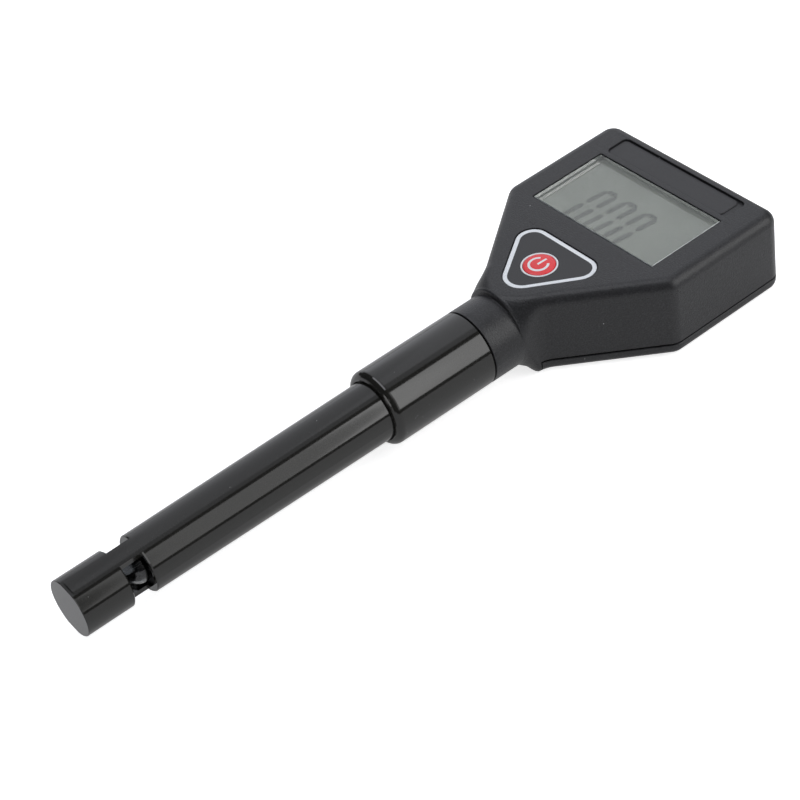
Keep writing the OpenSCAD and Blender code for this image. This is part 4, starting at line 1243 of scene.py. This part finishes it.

# %% [markdown]
# ## The display
# The lens is a clear acrylic block with polished, slightly chamfered edges. Its chamfers get a
# pale, opaque finish, a painted highlight for the bright glow of the polished edges. Under it lies
# the liquid crystal cell. Its digits are thin dark segments, and each throws a soft shadow on the
# reflector below the cell. So a digit is drawn in three thin layers: a painted shadow, pale and
# wide, a little to the side; a darker soft edge over it, partly painted shadow; and the crisp
# segments on top.

# %% Clear lens
LENS_GAP, LENS_CHAMFER, FLANGE_OUT, FLANGE_THICK = -0.27, (-0.16, -0.2), 1.9, 0.7
lens_top, lens_foot = FACE_Z - 0.05, box_mm("display_lens")[0][2]
flange_top = lens_foot + FLANGE_THICK


def block_row(grow, z):
    return at_z(rounded_bar(*WINDOW, 0.5, grow, 4), z)


edge_rows = [block_row(LENS_GAP + LENS_CHAMFER[0], lens_top),
             block_row(LENS_GAP, lens_top + LENS_CHAMFER[1])]
lens_rows = [edge_rows[-1], block_row(LENS_GAP, flange_top),
             block_row(FLANGE_OUT, flange_top), block_row(FLANGE_OUT, lens_foot)]
clear = rows_to_faces(lens_rows, closed=True) + flat_fill(edge_rows[0]) + flat_fill(lens_rows[-1])
chamfer_faces = rows_to_faces(edge_rows, closed=True)
# the chamfers get a pale, opaque finish: a painted highlight for the bright glow of the polished
# edges
moulded_finish("lens_edge_painted_glow", (0.30, 0.32, 0.32), (0.62, 0.65, 0.65), 1.4, 0.2, 0.2, depth_mm=0.0)
make_piece("clear_lens", clear + chamfer_faces, "lens_clear", "head", ["display_lens"], sharp=25,
           materials=["lens_clear", "lens_edge_painted_glow"], marks=[0] * len(clear) + [1] * len(chamfer_faces))

# %% Display digits
CELL_TOP = box_mm("lcd_glass")[1][2]
DIGIT_X, DIGIT_MID_Y = (-9.15, -2.0, 5.15), 70.45
DIGIT_HALF_W, DIGIT_HALF_H, SLANT = 1.82, 7.1, 0.11
MIDDLE_GAP, CORNER_GAP = 0.42, 0.12  # between neighbouring segments
INK_THICK = 0.012


def segment(points, half):
    """One segment: a bar between two points with pointed ends."""
    (x0, y0), (x1, y1) = points
    length = math.hypot(x1 - x0, y1 - y0)
    ux, uy = half * (x1 - x0) / length, half * (y1 - y0) / length
    a, b = (x0 + ux, y0 + uy), (x1 - ux, y1 - uy)
    return [(x0, y0), (a[0] + uy, a[1] - ux), (b[0] + uy, b[1] - ux),
            (x1, y1), (b[0] - uy, b[1] + ux), (a[0] - uy, a[1] + ux)]


def zero_digit(center_x, half):
    """The six lit segments of a 0, upright and about the digit's middle."""
    w, h = DIGIT_HALF_W, DIGIT_HALF_H
    ends = [((CORNER_GAP - w, y), (w - CORNER_GAP, y)) for y in (h, -h)]
    for x in (-w, w):
        ends += [((x, MIDDLE_GAP), (x, h - CORNER_GAP)), ((x, CORNER_GAP - h), (x, -MIDDLE_GAP))]
    return [[(center_x + x + SLANT * y, DIGIT_MID_Y + y) for x, y in segment(pair, half)]
            for pair in ends]


def digit_layer(half, shift, z):
    """All digits as thin flat prisms, a little to the side."""
    faces = []
    for outline in [part for center_x in DIGIT_X for part in zero_digit(center_x, half)]:
        moved = [(x + shift[0], y + shift[1]) for x, y in outline]
        faces += capped([at_z(moved, z), at_z(moved, z + INK_THICK)])
    return faces


print("digits at", DIGIT_X)

# %% Segment colour and painted shadow of the digits
CELL_COLOR = (0.133, 0.141, 0.119)


def ink_and_shadow_finish(name, share):
    """Segment colour, and the painted shadow of the segments: the cell's own colour, darkened, with
    the same soft gloss.
    """
    moulded_finish(name, [c * share for c in CELL_COLOR], [c * share * 1.2 for c in CELL_COLOR],
                   9.0, 0.5, 0.06, depth_mm=0.0, dusty=0.0, Specular_IOR_Level=0.1)


# layers: a painted shadow of the segments on the reflector, pale, wide and to the side; their soft
# edge, partly painted shadow; and the segments themselves
for name, ink_and_shade, share, half, shift, rise in (
        ("digit_shadows", "segment_shadow", 0.86, 1.0, (-0.15, -0.25), 0.004),
        ("digit_blur_shadow", "segment_blur_shadow", 0.60, 0.78, (-0.05, -0.08), 0.018),
        ("digit_segments", "segment_ink", 0.42, 0.58, (0.0, 0.0), 0.032)):
    ink_and_shadow_finish(ink_and_shade, share)
    make_piece(name, digit_layer(half, shift, CELL_TOP + rise), "display_glass", "head",
               materials=[ink_and_shade])

# %% [markdown]
# ## Finish

# %% Finish
print("done")
